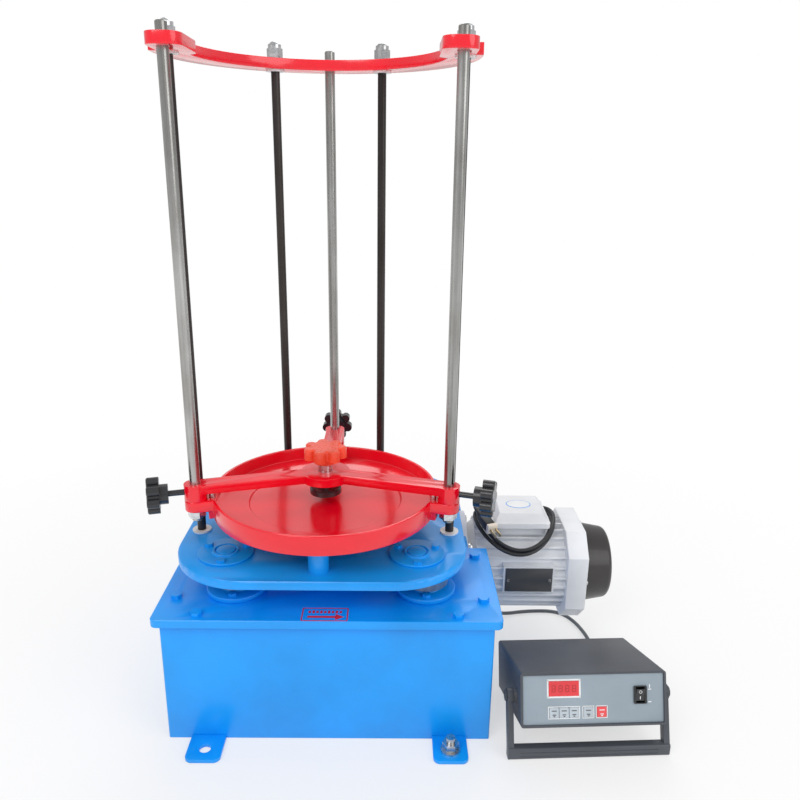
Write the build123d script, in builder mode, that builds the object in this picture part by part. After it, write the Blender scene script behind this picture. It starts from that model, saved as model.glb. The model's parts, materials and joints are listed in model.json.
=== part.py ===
"""Electric sieve shaker: a cast box with a worm drive carries a table on three
equal cranks. The table swings in a flat circle, a jolting spindle lifts the
sieve tray inside it, and a three armed clamp slides down three rods onto the
sieves. A flange motor and a separate timer box complete the set.

Millimetres, +Z up, +X towards the motor, -Y to the operator. The origin is the
middle of the base box's footprint, on the surface that the machine stands on.
"""
import os
from math import atan2, cos, degrees, pi, radians, sin, sqrt, tan
from build123d import *

os.makedirs("parts", exist_ok=True)

# Fits and gaps
RUN_FIT = 0.06          # radial clearance of a shaft or rod that slides or turns
MOVE_GAP = 0.3          # flat faces that pass each other
LOOSE_FIT = 0.5         # radial clearance of a screw in a plain hole

# Base box and cover
COVER_W = 450.0
COVER_D = 400.0
COVER_T = 11.0
COVER_CORNER = 9.0
COVER_EDGE = 1.2        # broken top edge of the cover
OVERHANG = 9.5
BOX_H = 176.0
BOX_WALL = 5.0
BOX_FLOOR = 6.0
RIM_W = 26.0            # inward flange that the cover is screwed to
RIM_T = 8.0
NOTCH_STEP = 27.5       # the right rear side steps in beside the motor flange
NOTCH_Y = -3.5
COVER_TOP = BOX_H + COVER_T

# Mounting lugs
LUG_W = 46.0
LUG_OUT = 46.0
LUG_T = 5.0
LUG_HOLE_R = 7.5
LUG_HOLE_OUT = 25.0
LUG_INSET = 54.5        # lug centre from the side of the box
STUD_R = 6.0
STUD_H = 25.0

# Drive: three cranks between the cover and the table
CRANK_THROW = 12.5
CRANK_X = 128.0
CRANK_FRONT_Y = -121.0
CRANK_REAR_Y = 120.0
SHAFT_R = 12.5
PIN_R = 10.0
WEB_R = 30.0
WEB_T = 11.7
HOUSING_R = 40.0
HOUSING_T = 7.0
HOUSING_BOSS_R = 22.0
HOUSING_H = 14.0        # flange and boss above the cover
HOUSING_BODY_R = 25.0
HOUSING_BELOW = 42.0
IDLE_SHAFT_END = 120.0  # lower end of the two idle crank shafts
BOLT_RING_R = 29.5

# Table
TABLE_GAP = 41.0        # cover to the underside of the table
TABLE_T = 12.0
TABLE_W = 392.0
TABLE_FRONT = 148.0
TABLE_REAR = 211.0
TABLE_CORNER = 100.0
TABLE_X = -CRANK_THROW  # at rest the cranks point to -X
TABLE_Y = -46.0
TABLE_LOW = COVER_TOP + TABLE_GAP
TABLE_TOP = TABLE_LOW + TABLE_T
CAP_R = 37.0
CAP_T = 3.0
CAP_RING_R = 17.5
CAP_RING_WALL = 3.0
CAP_RING_H = 2.5
CAP_PLUG_R = 12.5
BUSH_R = 22.0
BUSH_FLANGE_R = 35.0
BUSH_FLANGE_T = 6.0

# Columns and top plate
COLUMN_R = 6.0
COLUMN_FRONT_X = 175.7
COLUMN_FRONT_Y = -9.3
COLUMN_REAR_X = 74.2
COLUMN_REAR_Y = 156.8
WASHER_R = 13.0
WASHER_T = 2.5
TOP_LOW = 863.0
TOP_T = 14.0
TOP_IN_R = 157.0
TOP_OUT_R = 197.0
LOBE_IN_X = 145.0
LOBE_OUT_X = 187.0
LOBE_FRONT = -72.0
LOBE_CORNER = 16.0
TOP_EDGE = 1.5

# Tray and its guides
TRAY_R = 156.0
TRAY_WALL = 4.5
TRAY_LOW = 280.0
TRAY_RIM = 307.0
TRAY_FLOOR = 8.0
SEAT_R = 106.5          # recess that centres the smaller sieves
SEAT_DEPTH = 3.0
ROD_RING = 176.9
ROD_ANGLE = 16.1        # the two front rods lie this far forward of the X axis
ROD_R = 7.0
ROD_LOW = 276.0
ROD_ABOVE = 13.0
EAR_R = 15.0
EAR_T = 15.0
ROD_NUT_T = 10.0
JOLT = 8.0              # lift of the tray
SPINDLE_R = 20.0
SPINDLE_FLANGE_R = 60.0
SPINDLE_FLANGE_T = 7.0
SPINDLE_FOOT_R = 26.0
HUB_R = 45.0
HUB_BELOW = 6.0
HUB_ABOVE = 32.0
POST_R = 13.5
POST_Y = -117.0
POST_PIN_R = 6.0

# Clamp
SPIDER_T = 12.0
SPIDER_BOSS_H = 22.0
SPIDER_BOSS_R = 15.0
ARM_W = 26.0
SPIDER_HUB_R = 34.0
SCREW_R = 4.0
SCREW_OUT = 20.0
KNOB_HUB_R = 13.5
KNOB_HUB_L = 11.0
KNOB_R = 25.0
KNOB_T = 16.0
KNOB_LOBES = 7
CLAMP_SCREW_R = 5.0
CLAMP_TRAVEL = 12.0
COLLAR_R = 9.75
COLLAR_H = 12.0
CENTRE_KNOB_R = 30.0
CENTRE_KNOB_T = 16.0
CENTRE_HUB_R = 15.0
CENTRE_HUB_H = 8.0
FOOT_R = 22.0
FOOT_T = 8.0

# Jolting gear under the cover
CAM_BASE_R = 26.0
CAM_TURN = 330.0        # the cam rises over this angle, then drops
CAM_T = 16.0
CAM_SHAFT_R = 8.0
LIFTER_R = 9.0
LIFTER_HEAD_R = 40.0
LIFTER_HEAD_T = 12.4
LIFTER_FOOT_R = 15.0
LIFTER_FOOT_T = 7.0
LIFTER_LOW = 140.0
GUIDE_R = 18.0
GUIDE_L = 20.0

# Motor
MOTOR_Y = 80.0
MOTOR_Z = 120.0
FLANGE_R = 80.0
FLANGE_T = 12.0
SHIELD_L = 14.0
BODY_CORE_R = 64.0
BODY_FIN_R = 72.0
FIN_T = 3.2
FIN_COUNT = 28
BODY_L = 139.5
COVER8_A = 150.0
COVER8_CHAMFER = 31.0
COVER8_T = 32.0
COWL_R = 64.0
COWL_END_R = 56.0
COWL_L = 45.0
COWL_WALL = 1.6
MOTOR_SHAFT_R = 7.0
FAN_R = 50.0
FAN_T = 14.0
PLATE_W = 73.0
PLATE_H = 40.0
PLATE_T = 1.0
PLATE_Z = 126.5
PLATE_X = 294.5
RIVET_R = 2.0
TBOX_X = 284.0
TBOX_BASE = 78.0
TBOX_LID = 90.0
TBOX_LOW = 186.0
TBOX_BASE_H = 14.0
TBOX_FLANGE_H = 8.0
TBOX_LID_H = 13.0
GLAND_R = 6.0
GLAND_L = 10.0
CORD_R = 3.0

# Timer box
BOX_ORIGIN = (248.0, -235.0, 55.5)
BOX_YAW = 2.6
BOX_TILT = 19.4
CASE_W = 190.0
CASE_D = 152.0
CASE_H = 69.0
CASE_WALL = 3.0
CASE_CORNER = 4.0
PANEL_T = 3.0
PANEL_INSET = 2.0
PANEL_GAP = 0.3
KEY_W = 12.4
KEY_H = 13.0
KEY_PROUD = 1.2
KEY_GAP = 0.3
KEY_Z = 18.0
KEY_XS = {"key_one": 43.5, "key_two": 56.5, "key_three": 69.5, "key_start": 88.0, "key_stop": 105.5}
DISPLAY_X = 56.5
DISPLAY_Z = 48.5
DISPLAY_W = 39.0
DISPLAY_H = 19.0
ROCKER_X = 156.0
ROCKER_Z = 38.5
BEZEL_W = 17.0
BEZEL_H = 22.5
ROCKER_W = 11.0
ROCKER_H = 15.6
BAIL_PIVOT_Y = 30.0
BAIL_PIVOT_Z = 32.0
BAIL_T = 8.0
BAIL_GAP = 4.3
BAIL_BAR_D = 13.0
STUB_R = 9.0
PIVOT_PIN_R = 4.0
BAIL_ARM_W = 12.0
BAIL_BAR = 17.0
BAIL_REACH = 26.0       # the floor bar lies this far in front of the pivots


def hex_r(across_flats):
    """Corner radius of a hexagon."""
    return across_flats / sqrt(3)


def at_table(z, x=0.0, y=0.0):
    """A level plane in the table's own place."""
    return Plane((TABLE_X + x, TABLE_Y + y, z))


def rod_places():
    front_x = ROD_RING * cos(radians(ROD_ANGLE))
    front_y = -ROD_RING * sin(radians(ROD_ANGLE))
    return [(-front_x, front_y), (front_x, front_y), (0.0, ROD_RING)]


def column_places():
    return [(side * x, y) for side in (-1, 1)
            for x, y in ((COLUMN_FRONT_X, COLUMN_FRONT_Y), (COLUMN_REAR_X, COLUMN_REAR_Y))]


def crank_places():
    return {"left": (-CRANK_X, CRANK_FRONT_Y), "right": (CRANK_X, CRANK_FRONT_Y), "rear": (0.0, CRANK_REAR_Y)}


def save(part, name):
    part.label = name
    export_step(part, "parts/" + name + ".step")


def notched_face(inset, corner):
    """The outline of the box and its cover, moved in by inset."""
    x = COVER_W / 2 - inset
    y = COVER_D / 2 - inset
    step_x = x - NOTCH_STEP
    with BuildSketch() as face:
        with BuildLine():
            Polyline((-x, -y), (x, -y), (x, NOTCH_Y - inset), (step_x, NOTCH_Y - inset), (step_x, y), (-x, y),
                     close=True)
        make_face()
        if corner > 0:
            outer = [v for v in face.vertices() if abs(v.Y) > y - 1]
            fillet(outer, corner)
    return face.sketch


# Places of the cover screws
COVER_SCREW_R = 4.0
screw_side_x = COVER_W / 2 - 21
screw_front_y = COVER_D / 2 - 14
cover_screw_places = [(-168, -screw_front_y), (168, -screw_front_y), (-screw_side_x, -145), (screw_side_x, -149),
                      (screw_side_x, -31), (-screw_side_x, 20), (-screw_side_x, 145),
                      (-150, screw_front_y), (140, screw_front_y)]

# Base box, open under its cover, with an inward rim for the cover screws
with BuildPart() as base_box:
    add(notched_face(OVERHANG, 3))
    extrude(amount=BOX_H)
    with BuildSketch(Plane.XY.offset(BOX_FLOOR)):
        add(notched_face(OVERHANG + BOX_WALL, 0))
    extrude(amount=BOX_H - BOX_FLOOR - RIM_T, mode=Mode.SUBTRACT)
    with BuildSketch(Plane.XY.offset(BOX_H - RIM_T)):
        add(notched_face(OVERHANG + BOX_WALL + RIM_W, 0))
    extrude(amount=RIM_T, mode=Mode.SUBTRACT)
    wall_x = COVER_W / 2 - NOTCH_STEP - OVERHANG
    with BuildSketch(Plane.YZ.offset(wall_x + 1)):
        with Locations((MOTOR_Y, MOTOR_Z)):
            Circle(MOTOR_SHAFT_R + 18)
    extrude(amount=-BOX_WALL - 2, mode=Mode.SUBTRACT)
    with BuildSketch(Plane.XY.offset(BOX_H - RIM_T)):
        with Locations(cover_screw_places):
            Circle(COVER_SCREW_R)
    extrude(amount=RIM_T, mode=Mode.SUBTRACT)
save(base_box.part, "base_box")

box_half_w = COVER_W / 2 - OVERHANG
box_half_d = COVER_D / 2 - OVERHANG
lug_x = box_half_w - LUG_INSET
lug_y = box_half_d + LUG_HOLE_OUT
lug_places = [(-lug_x, -lug_y), (lug_x, -lug_y), (-lug_x, lug_y), (lug_x - NOTCH_STEP, lug_y)]
with BuildPart() as mounting_lugs:
    for place_x, place_y in lug_places:
        outward = -1 if place_y < 0 else 1
        with BuildSketch(Plane((place_x, outward * box_half_d, 0))):
            with Locations((0, outward * LUG_OUT / 2)):
                Rectangle(LUG_W, LUG_OUT)
        extrude(amount=LUG_T)
    tips = [e for e in mounting_lugs.edges().filter_by(Axis.Z) if abs(e.center().Y) > box_half_d + 1]
    fillet(tips, 9)
    with BuildSketch(Plane.XY):
        with Locations(lug_places):
            Circle(LUG_HOLE_R)
    extrude(amount=LUG_T, mode=Mode.SUBTRACT)
save(mounting_lugs.part, "mounting_lugs")

# One foundation stud stays in the right front lug, with its washer and nut
with BuildPart() as lug_stud:
    stud_place = Plane((lug_x, -lug_y, 0))
    with BuildSketch(stud_place):
        Circle(STUD_R)
    extrude(amount=STUD_H)
    with BuildSketch(stud_place.offset(LUG_T)):
        Circle(WASHER_R)
    extrude(amount=WASHER_T)
    with BuildSketch(stud_place.offset(LUG_T + WASHER_T)):
        RegularPolygon(hex_r(19), 6)
    extrude(amount=10)
save(lug_stud.part, "lug_stud")

# Cover plate with bores for the bearing housings, the lifter and the screws
with BuildPart() as cover_plate:
    with BuildSketch(Plane.XY.offset(BOX_H)):
        add(notched_face(0, COVER_CORNER))
    extrude(amount=COVER_T)
    chamfer(cover_plate.faces().sort_by(Axis.Z)[-1].outer_wire().edges(), COVER_EDGE)
    with BuildSketch(Plane.XY.offset(BOX_H)):
        with Locations(list(crank_places().values())):
            Circle(HOUSING_BODY_R)
        with Locations(cover_screw_places):
            Circle(COVER_SCREW_R)
    extrude(amount=COVER_T, mode=Mode.SUBTRACT)
    with BuildSketch(Plane.XY.offset(BOX_H)):
        with Locations((0, TABLE_Y)):
            Circle(GUIDE_R)
    extrude(amount=-GUIDE_L)
    with BuildSketch(Plane.XY.offset(BOX_H - GUIDE_L)):
        with Locations((0, TABLE_Y)):
            Circle(LIFTER_R + RUN_FIT)
    extrude(amount=GUIDE_L + COVER_T, mode=Mode.SUBTRACT)
    with BuildSketch(Plane.YZ.offset(COVER_W / 2 - NOTCH_STEP - OVERHANG - MOVE_GAP)):
        with Locations((MOTOR_Y, MOTOR_Z)):
            Circle(FLANGE_R + 1)
    extrude(amount=COVER_W, mode=Mode.SUBTRACT)
save(cover_plate.part, "cover_plate")

# Hexagon screws of the cover and of the lower bearing housings
with BuildPart() as cover_screws:
    with BuildSketch(Plane.XY.offset(BOX_H - RIM_T)):
        with Locations(cover_screw_places):
            Circle(COVER_SCREW_R)
    extrude(amount=RIM_T + COVER_T)
    with BuildSketch(Plane.XY.offset(COVER_TOP)):
        with Locations(cover_screw_places):
            RegularPolygon(hex_r(13), 6)
    extrude(amount=5.3)
    for place_x, place_y in crank_places().values():
        with BuildSketch(Plane((place_x, place_y, COVER_TOP + HOUSING_T))):
            with PolarLocations(BOLT_RING_R, 3, start_angle=30):
                RegularPolygon(hex_r(10), 6)
        extrude(amount=4)
save(cover_screws.part, "cover_screws")

# Lower bearing housings: flange and boss above the cover, sleeve below it
with BuildPart() as lower_bearings:
    for place_x, place_y in crank_places().values():
        with BuildSketch(Plane((place_x, place_y, COVER_TOP))):
            Circle(HOUSING_R)
        extrude(amount=HOUSING_T)
        with BuildSketch(Plane((place_x, place_y, COVER_TOP))):
            Circle(HOUSING_BOSS_R)
        extrude(amount=HOUSING_H)
        with BuildSketch(Plane((place_x, place_y, COVER_TOP))):
            Circle(HOUSING_BODY_R)
        extrude(amount=-HOUSING_BELOW)
        with BuildSketch(Plane((place_x, place_y, COVER_TOP + HOUSING_H))):
            Circle(SHAFT_R + RUN_FIT)
        extrude(amount=-HOUSING_H - HOUSING_BELOW, mode=Mode.SUBTRACT)
save(lower_bearings.part, "lower_bearings")

# Worm reducer: a closed casing under the rear crank, on a foot
REDUCER_X = 96.0
REDUCER_LOW_Y = 50.0
REDUCER_HIGH_Y = 178.0
REDUCER_TOP = 142.0
with BuildPart() as worm_reducer:
    mid_y = (REDUCER_LOW_Y + REDUCER_HIGH_Y) / 2
    depth_y = REDUCER_HIGH_Y - REDUCER_LOW_Y
    with BuildSketch(Plane((0, mid_y, BOX_FLOOR))):
        Rectangle(REDUCER_X + 34, depth_y)
    extrude(amount=9)
    with BuildSketch(Plane((0, mid_y, BOX_FLOOR))):
        RectangleRounded(REDUCER_X, depth_y, 14)
    extrude(amount=REDUCER_TOP - BOX_FLOOR)
    with BuildSketch(Plane.YZ.offset(-REDUCER_X / 2 - 8)):
        with Locations((MOTOR_Y, MOTOR_Z)):
            Circle(21)
    extrude(amount=REDUCER_X + 16)
    with BuildSketch(Plane((0, CRANK_REAR_Y, REDUCER_TOP))):
        Circle(SHAFT_R + RUN_FIT)
    extrude(amount=-90, mode=Mode.SUBTRACT)
    with BuildSketch(Plane.YZ.offset(REDUCER_X / 2 + 8)):
        with Locations((MOTOR_Y, MOTOR_Z)):
            Circle(MOTOR_SHAFT_R + RUN_FIT)
    extrude(amount=-40, mode=Mode.SUBTRACT)
save(worm_reducer.part, "worm_reducer")

# Cranks: shaft, round web and the pin that carries the table
web_low = COVER_TOP + HOUSING_H + MOVE_GAP
web_top = web_low + WEB_T
for side, (place_x, place_y) in crank_places().items():
    shaft_end = REDUCER_TOP - 85 if side == "rear" else IDLE_SHAFT_END
    with BuildPart() as crank:
        with BuildSketch(Plane((place_x, place_y, shaft_end))):
            Circle(SHAFT_R)
        extrude(amount=web_low - shaft_end)
        with BuildSketch(Plane((place_x, place_y, web_low))):
            Circle(WEB_R)
        extrude(amount=WEB_T)
        with BuildSketch(Plane((place_x - CRANK_THROW, place_y, web_top))):
            Circle(PIN_R)
        extrude(amount=TABLE_TOP - MOVE_GAP - web_top)
    save(crank.part, "crank_" + side)

# Table plate with the hub that guides the tray's spindle
pin_places = [(x, y - TABLE_Y) for x, y in crank_places().values()]
with BuildPart() as table_plate:
    with BuildSketch(at_table(TABLE_LOW, 0, (TABLE_REAR - TABLE_FRONT) / 2)):
        RectangleRounded(TABLE_W, TABLE_FRONT + TABLE_REAR, TABLE_CORNER)
    extrude(amount=TABLE_T)
    chamfer(table_plate.faces().sort_by(Axis.Z)[-1].edges(), COVER_EDGE)
    with BuildSketch(at_table(TABLE_LOW - HUB_BELOW)):
        Circle(HUB_R)
    extrude(amount=HUB_BELOW + TABLE_T + HUB_ABOVE)
    with BuildSketch(at_table(TABLE_LOW - HUB_BELOW)):
        Circle(SPINDLE_R + RUN_FIT)
    extrude(amount=HUB_BELOW + TABLE_T + HUB_ABOVE, mode=Mode.SUBTRACT)
    with BuildSketch(at_table(TABLE_LOW)):
        with Locations(pin_places):
            Circle(BUSH_R)
        with Locations(column_places()):
            Circle(COLUMN_R)
    extrude(amount=TABLE_T, mode=Mode.SUBTRACT)
save(table_plate.part, "table_plate")

with BuildPart() as upper_bearings:
    for place_x, place_y in pin_places:
        with BuildSketch(at_table(web_top + MOVE_GAP, place_x, place_y)):
            Circle(BUSH_R)
        extrude(amount=TABLE_TOP - web_top - MOVE_GAP)
        with BuildSketch(at_table(TABLE_LOW - BUSH_FLANGE_T, place_x, place_y)):
            Circle(BUSH_FLANGE_R)
        extrude(amount=BUSH_FLANGE_T)
        with BuildSketch(at_table(web_top, place_x, place_y)):
            Circle(PIN_R + RUN_FIT)
        extrude(amount=TABLE_TOP - web_top, mode=Mode.SUBTRACT)
save(upper_bearings.part, "upper_bearings")

with BuildPart() as bearing_caps:
    for place_x, place_y in pin_places:
        with BuildSketch(at_table(TABLE_TOP, place_x, place_y)):
            Circle(CAP_R)
        extrude(amount=CAP_T)
        with BuildSketch(at_table(TABLE_TOP + CAP_T, place_x, place_y)):
            Circle(CAP_RING_R)
            Circle(CAP_RING_R - CAP_RING_WALL, mode=Mode.SUBTRACT)
            Circle(CAP_PLUG_R)
        extrude(amount=CAP_RING_H)
save(bearing_caps.part, "bearing_caps")

with BuildPart() as cap_screws:
    for place_x, place_y in pin_places:
        with BuildSketch(at_table(TABLE_TOP + CAP_T, place_x, place_y)):
            with PolarLocations(BOLT_RING_R, 3, start_angle=30):
                RegularPolygon(hex_r(10), 6)
        extrude(amount=4)
save(cap_screws.part, "cap_screws")

# Guide post in front: it keeps the tray from turning
with BuildPart() as guide_post:
    with BuildSketch(at_table(TABLE_TOP, 0, POST_Y)):
        Circle(POST_R)
    extrude(amount=TRAY_LOW - TABLE_TOP - MOVE_GAP)
    fillet(guide_post.faces().sort_by(Axis.Z)[-1].edges(), 1)
    with BuildSketch(at_table(TABLE_TOP + 3, 0, POST_Y)):
        Circle(POST_PIN_R + RUN_FIT)
    extrude(amount=TRAY_LOW - TABLE_TOP, mode=Mode.SUBTRACT)
save(guide_post.part, "guide_post")

# Columns, their washers and dome nuts
nut_low = TOP_LOW + TOP_T
with BuildPart() as columns:
    with BuildSketch(at_table(TABLE_LOW)):
        with Locations(column_places()):
            Circle(COLUMN_R)
    extrude(amount=nut_low + 14 - TABLE_LOW)
save(columns.part, "columns")

with BuildPart() as column_washers:
    for level in (TABLE_TOP, TOP_LOW - WASHER_T):
        with BuildSketch(at_table(level)):
            with Locations(column_places()):
                Circle(WASHER_R)
                Circle(COLUMN_R, mode=Mode.SUBTRACT)
        extrude(amount=WASHER_T)
save(column_washers.part, "column_washers")

DOME_R = 9.0
DOME_HEX_H = 13.0
with BuildPart() as dome_nuts:
    for place_x, place_y in column_places():
        with BuildSketch(at_table(nut_low, place_x, place_y)):
            RegularPolygon(hex_r(19), 6)
        extrude(amount=DOME_HEX_H)
        with BuildSketch(at_table(nut_low, place_x, place_y)):
            Circle(DOME_R)
        extrude(amount=DOME_HEX_H + 5)
        with Locations(Location((TABLE_X + place_x, TABLE_Y + place_y, nut_low + DOME_HEX_H + 5))):
            Sphere(DOME_R, arc_size1=0)
        with BuildSketch(at_table(nut_low, place_x, place_y)):
            Circle(COLUMN_R)
        extrude(amount=14, mode=Mode.SUBTRACT)
save(dome_nuts.part, "dome_nuts")

# Top plate: a horseshoe that ends in two lobes
with BuildPart() as top_plate:
    with BuildSketch(at_table(TOP_LOW)):
        Circle(TOP_OUT_R)
        Circle(TOP_IN_R, mode=Mode.SUBTRACT)
        with Locations((0, -TOP_OUT_R + 2 * COLUMN_FRONT_Y)):
            Rectangle(3 * TOP_OUT_R, 2 * TOP_OUT_R, mode=Mode.SUBTRACT)
        lobe_w = LOBE_OUT_X - LOBE_IN_X
        lobe_d = -LOBE_FRONT + LOBE_CORNER
        for side in (-1, 1):
            with Locations((side * (LOBE_IN_X + LOBE_OUT_X) / 2, LOBE_FRONT + lobe_d / 2)):
                RectangleRounded(lobe_w, lobe_d, LOBE_CORNER)
    extrude(amount=TOP_T)
    with BuildSketch(at_table(TOP_LOW)):
        with Locations(column_places()):
            Circle(COLUMN_R)
        with Locations(rod_places()):
            Circle(ROD_R + RUN_FIT)
    extrude(amount=TOP_T, mode=Mode.SUBTRACT)
save(top_plate.part, "top_plate")

# Tray: a shallow dish with ears for the rods
with BuildPart() as tray:
    with BuildSketch(at_table(TRAY_LOW)):
        Circle(TRAY_R)
    extrude(amount=TRAY_RIM - TRAY_LOW)
    for place_x, place_y in rod_places():
        ear = Plane((TABLE_X, TABLE_Y, TRAY_RIM - EAR_T), x_dir=(place_x, place_y, 0), z_dir=(0, 0, 1))
        with BuildSketch(ear):
            with Locations((ROD_RING / 2, 0)):
                Rectangle(ROD_RING, 2 * EAR_R)
            with Locations((ROD_RING, 0)):
                Circle(EAR_R)
        extrude(amount=EAR_T)
        with BuildSketch(ear.offset(TRAY_LOW - TRAY_RIM + EAR_T)):
            with Locations((TRAY_R, 0)):
                Rectangle(12, 2 * EAR_R - 6)
        extrude(amount=TRAY_RIM - EAR_T - TRAY_LOW)
    with BuildSketch(at_table(TRAY_LOW + TRAY_FLOOR)):
        Circle(TRAY_R - TRAY_WALL)
    extrude(amount=TRAY_RIM, mode=Mode.SUBTRACT)
    with BuildSketch(at_table(TRAY_LOW + TRAY_FLOOR - SEAT_DEPTH)):
        Circle(SEAT_R)
    extrude(amount=SEAT_DEPTH, mode=Mode.SUBTRACT)
    with BuildSketch(at_table(TRAY_LOW)):
        with Locations(rod_places()):
            Circle(ROD_R)
    extrude(amount=TRAY_RIM, mode=Mode.SUBTRACT)
save(tray.part, "tray")

# Spindle and guide pin under the tray
lifter_top = COVER_TOP + MOVE_GAP + LIFTER_HEAD_T
with BuildPart() as tray_spindles:
    with BuildSketch(at_table(lifter_top + MOVE_GAP)):
        Circle(SPINDLE_R)
    extrude(amount=TRAY_LOW - lifter_top - MOVE_GAP)
    with BuildSketch(at_table(lifter_top + MOVE_GAP)):
        Circle(SPINDLE_FOOT_R)
    extrude(amount=TABLE_LOW - HUB_BELOW - JOLT - 1.5 - lifter_top)
    with BuildSketch(at_table(TRAY_LOW - SPINDLE_FLANGE_T)):
        Circle(SPINDLE_FLANGE_R)
    extrude(amount=SPINDLE_FLANGE_T)
    with BuildSketch(at_table(TABLE_TOP + 8, 0, POST_Y)):
        Circle(POST_PIN_R)
    extrude(amount=TRAY_LOW - TABLE_TOP - 8)
save(tray_spindles.part, "tray_spindles")

with BuildPart() as guide_rods:
    with BuildSketch(at_table(ROD_LOW)):
        with Locations(rod_places()):
            Circle(ROD_R)
    extrude(amount=nut_low + ROD_ABOVE - ROD_LOW)
    chamfer(guide_rods.edges().filter_by(GeomType.CIRCLE), 1.2)
save(guide_rods.part, "guide_rods")

ear_low = TRAY_RIM - EAR_T
with BuildPart() as rod_nuts:
    with BuildSketch(at_table(ear_low - ROD_NUT_T)):
        for place in rod_places():
            with Locations(place):
                RegularPolygon(hex_r(21), 6)
        with Locations(rod_places()):
            Circle(ROD_R, mode=Mode.SUBTRACT)
    extrude(amount=ROD_NUT_T)
save(rod_nuts.part, "rod_nuts")

# Small cap screws on the ears, between the rod and the rim
with BuildPart() as ear_screws:
    for place_x, place_y in rod_places():
        ear = Plane((TABLE_X, TABLE_Y, TRAY_RIM), x_dir=(place_x, place_y, 0), z_dir=(0, 0, 1))
        with BuildSketch(ear):
            with Locations((TRAY_R - 0.5, 0)):
                Circle(4.5)
        extrude(amount=8)
        with BuildSketch(ear.offset(8)):
            with Locations((TRAY_R - 0.5, 0)):
                RegularPolygon(2.8, 6)
        extrude(amount=-4, mode=Mode.SUBTRACT)
save(ear_screws.part, "ear_screws")

# Three armed clamp that slides on the rods
spider_low = TRAY_RIM + MOVE_GAP
spider_top = spider_low + SPIDER_BOSS_H
arm_low = spider_top - SPIDER_T
screw_z = spider_top - SPIDER_BOSS_H / 2
with BuildPart() as clamp_spider:
    with BuildSketch(at_table(arm_low)):
        Circle(SPIDER_HUB_R)
        for place_x, place_y in rod_places():
            mid = (place_x / 2, place_y / 2)
            arm_angle = degrees(atan2(place_y, place_x))
            with Locations(Location((mid[0], mid[1], 0), (0, 0, arm_angle))):
                Rectangle(ROD_RING, ARM_W)
    extrude(amount=SPIDER_T)
    with BuildSketch(at_table(spider_low)):
        with Locations(rod_places()):
            Circle(SPIDER_BOSS_R)
    extrude(amount=SPIDER_BOSS_H)
    with BuildSketch(at_table(spider_low)):
        with Locations(rod_places()):
            Circle(ROD_R + RUN_FIT)
        Circle(CLAMP_SCREW_R + RUN_FIT)
    extrude(amount=SPIDER_BOSS_H, mode=Mode.SUBTRACT)
    for place_x, place_y in rod_places():
        radial = Plane((TABLE_X + place_x, TABLE_Y + place_y, screw_z), x_dir=(0, 0, 1),
                       z_dir=(place_x, place_y, 0))
        with BuildSketch(radial):
            Circle(SCREW_R + RUN_FIT)
        extrude(amount=SPIDER_BOSS_R + 2, mode=Mode.SUBTRACT)
save(clamp_spider.part, "clamp_spider")


def star(radius, lobes):
    """Knob outline: a disc with round lobes."""
    lobe_r = radius * 0.27
    Circle(radius - lobe_r)
    with PolarLocations(radius - lobe_r, lobes):
        Circle(lobe_r)


for side, (place_x, place_y) in zip(("left", "right", "rear"), rod_places()):
    radial = Plane((TABLE_X + place_x, TABLE_Y + place_y, screw_z), x_dir=(0, 0, 1), z_dir=(place_x, place_y, 0))
    hub_start = SPIDER_BOSS_R + SCREW_OUT
    with BuildPart() as side_knob:
        with BuildSketch(radial.offset(ROD_R + MOVE_GAP)):
            Circle(SCREW_R)
        extrude(amount=hub_start - ROD_R - MOVE_GAP)
        with BuildSketch(radial.offset(hub_start)):
            Circle(KNOB_HUB_R)
        extrude(amount=KNOB_HUB_L)
        with BuildSketch(radial.offset(hub_start + KNOB_HUB_L)):
            star(KNOB_R, KNOB_LOBES)
        extrude(amount=KNOB_T)
        chamfer(side_knob.faces().sort_by(Axis((0, 0, 0), tuple(radial.z_dir)))[-1].edges(), 1.5)
    save(side_knob.part, "side_knob_" + side)

# Centre screw: collar, knob and pressure foot
with BuildPart() as hub_collar:
    with BuildSketch(at_table(spider_top)):
        Circle(COLLAR_R)
        Circle(CLAMP_SCREW_R + RUN_FIT, mode=Mode.SUBTRACT)
    extrude(amount=COLLAR_H)
    chamfer(hub_collar.faces().sort_by(Axis.Z)[-1].edges().sort_by(SortBy.LENGTH)[-1], 1)
save(hub_collar.part, "hub_collar")

knob_low = spider_top + COLLAR_H + MOVE_GAP
foot_top = arm_low - CLAMP_TRAVEL - MOVE_GAP
with BuildPart() as centre_screw:
    with BuildSketch(at_table(foot_top)):
        Circle(CLAMP_SCREW_R)
    extrude(amount=knob_low - foot_top)
save(centre_screw.part, "centre_screw")

with BuildPart() as centre_knob:
    with BuildSketch(at_table(knob_low)):
        Circle(CENTRE_HUB_R)
    extrude(amount=CENTRE_HUB_H)
    with BuildSketch(at_table(knob_low + CENTRE_HUB_H)):
        star(CENTRE_KNOB_R, KNOB_LOBES)
    extrude(amount=CENTRE_KNOB_T)
    chamfer(centre_knob.faces().sort_by(Axis.Z)[-1].edges(), 2)
save(centre_knob.part, "centre_knob")

with BuildPart() as pressure_foot:
    with BuildSketch(at_table(foot_top - FOOT_T)):
        Circle(FOOT_R)
    extrude(amount=FOOT_T)
    chamfer(pressure_foot.faces().sort_by(Axis.Z)[-1].edges(), 2)
save(pressure_foot.part, "pressure_foot")

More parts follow.
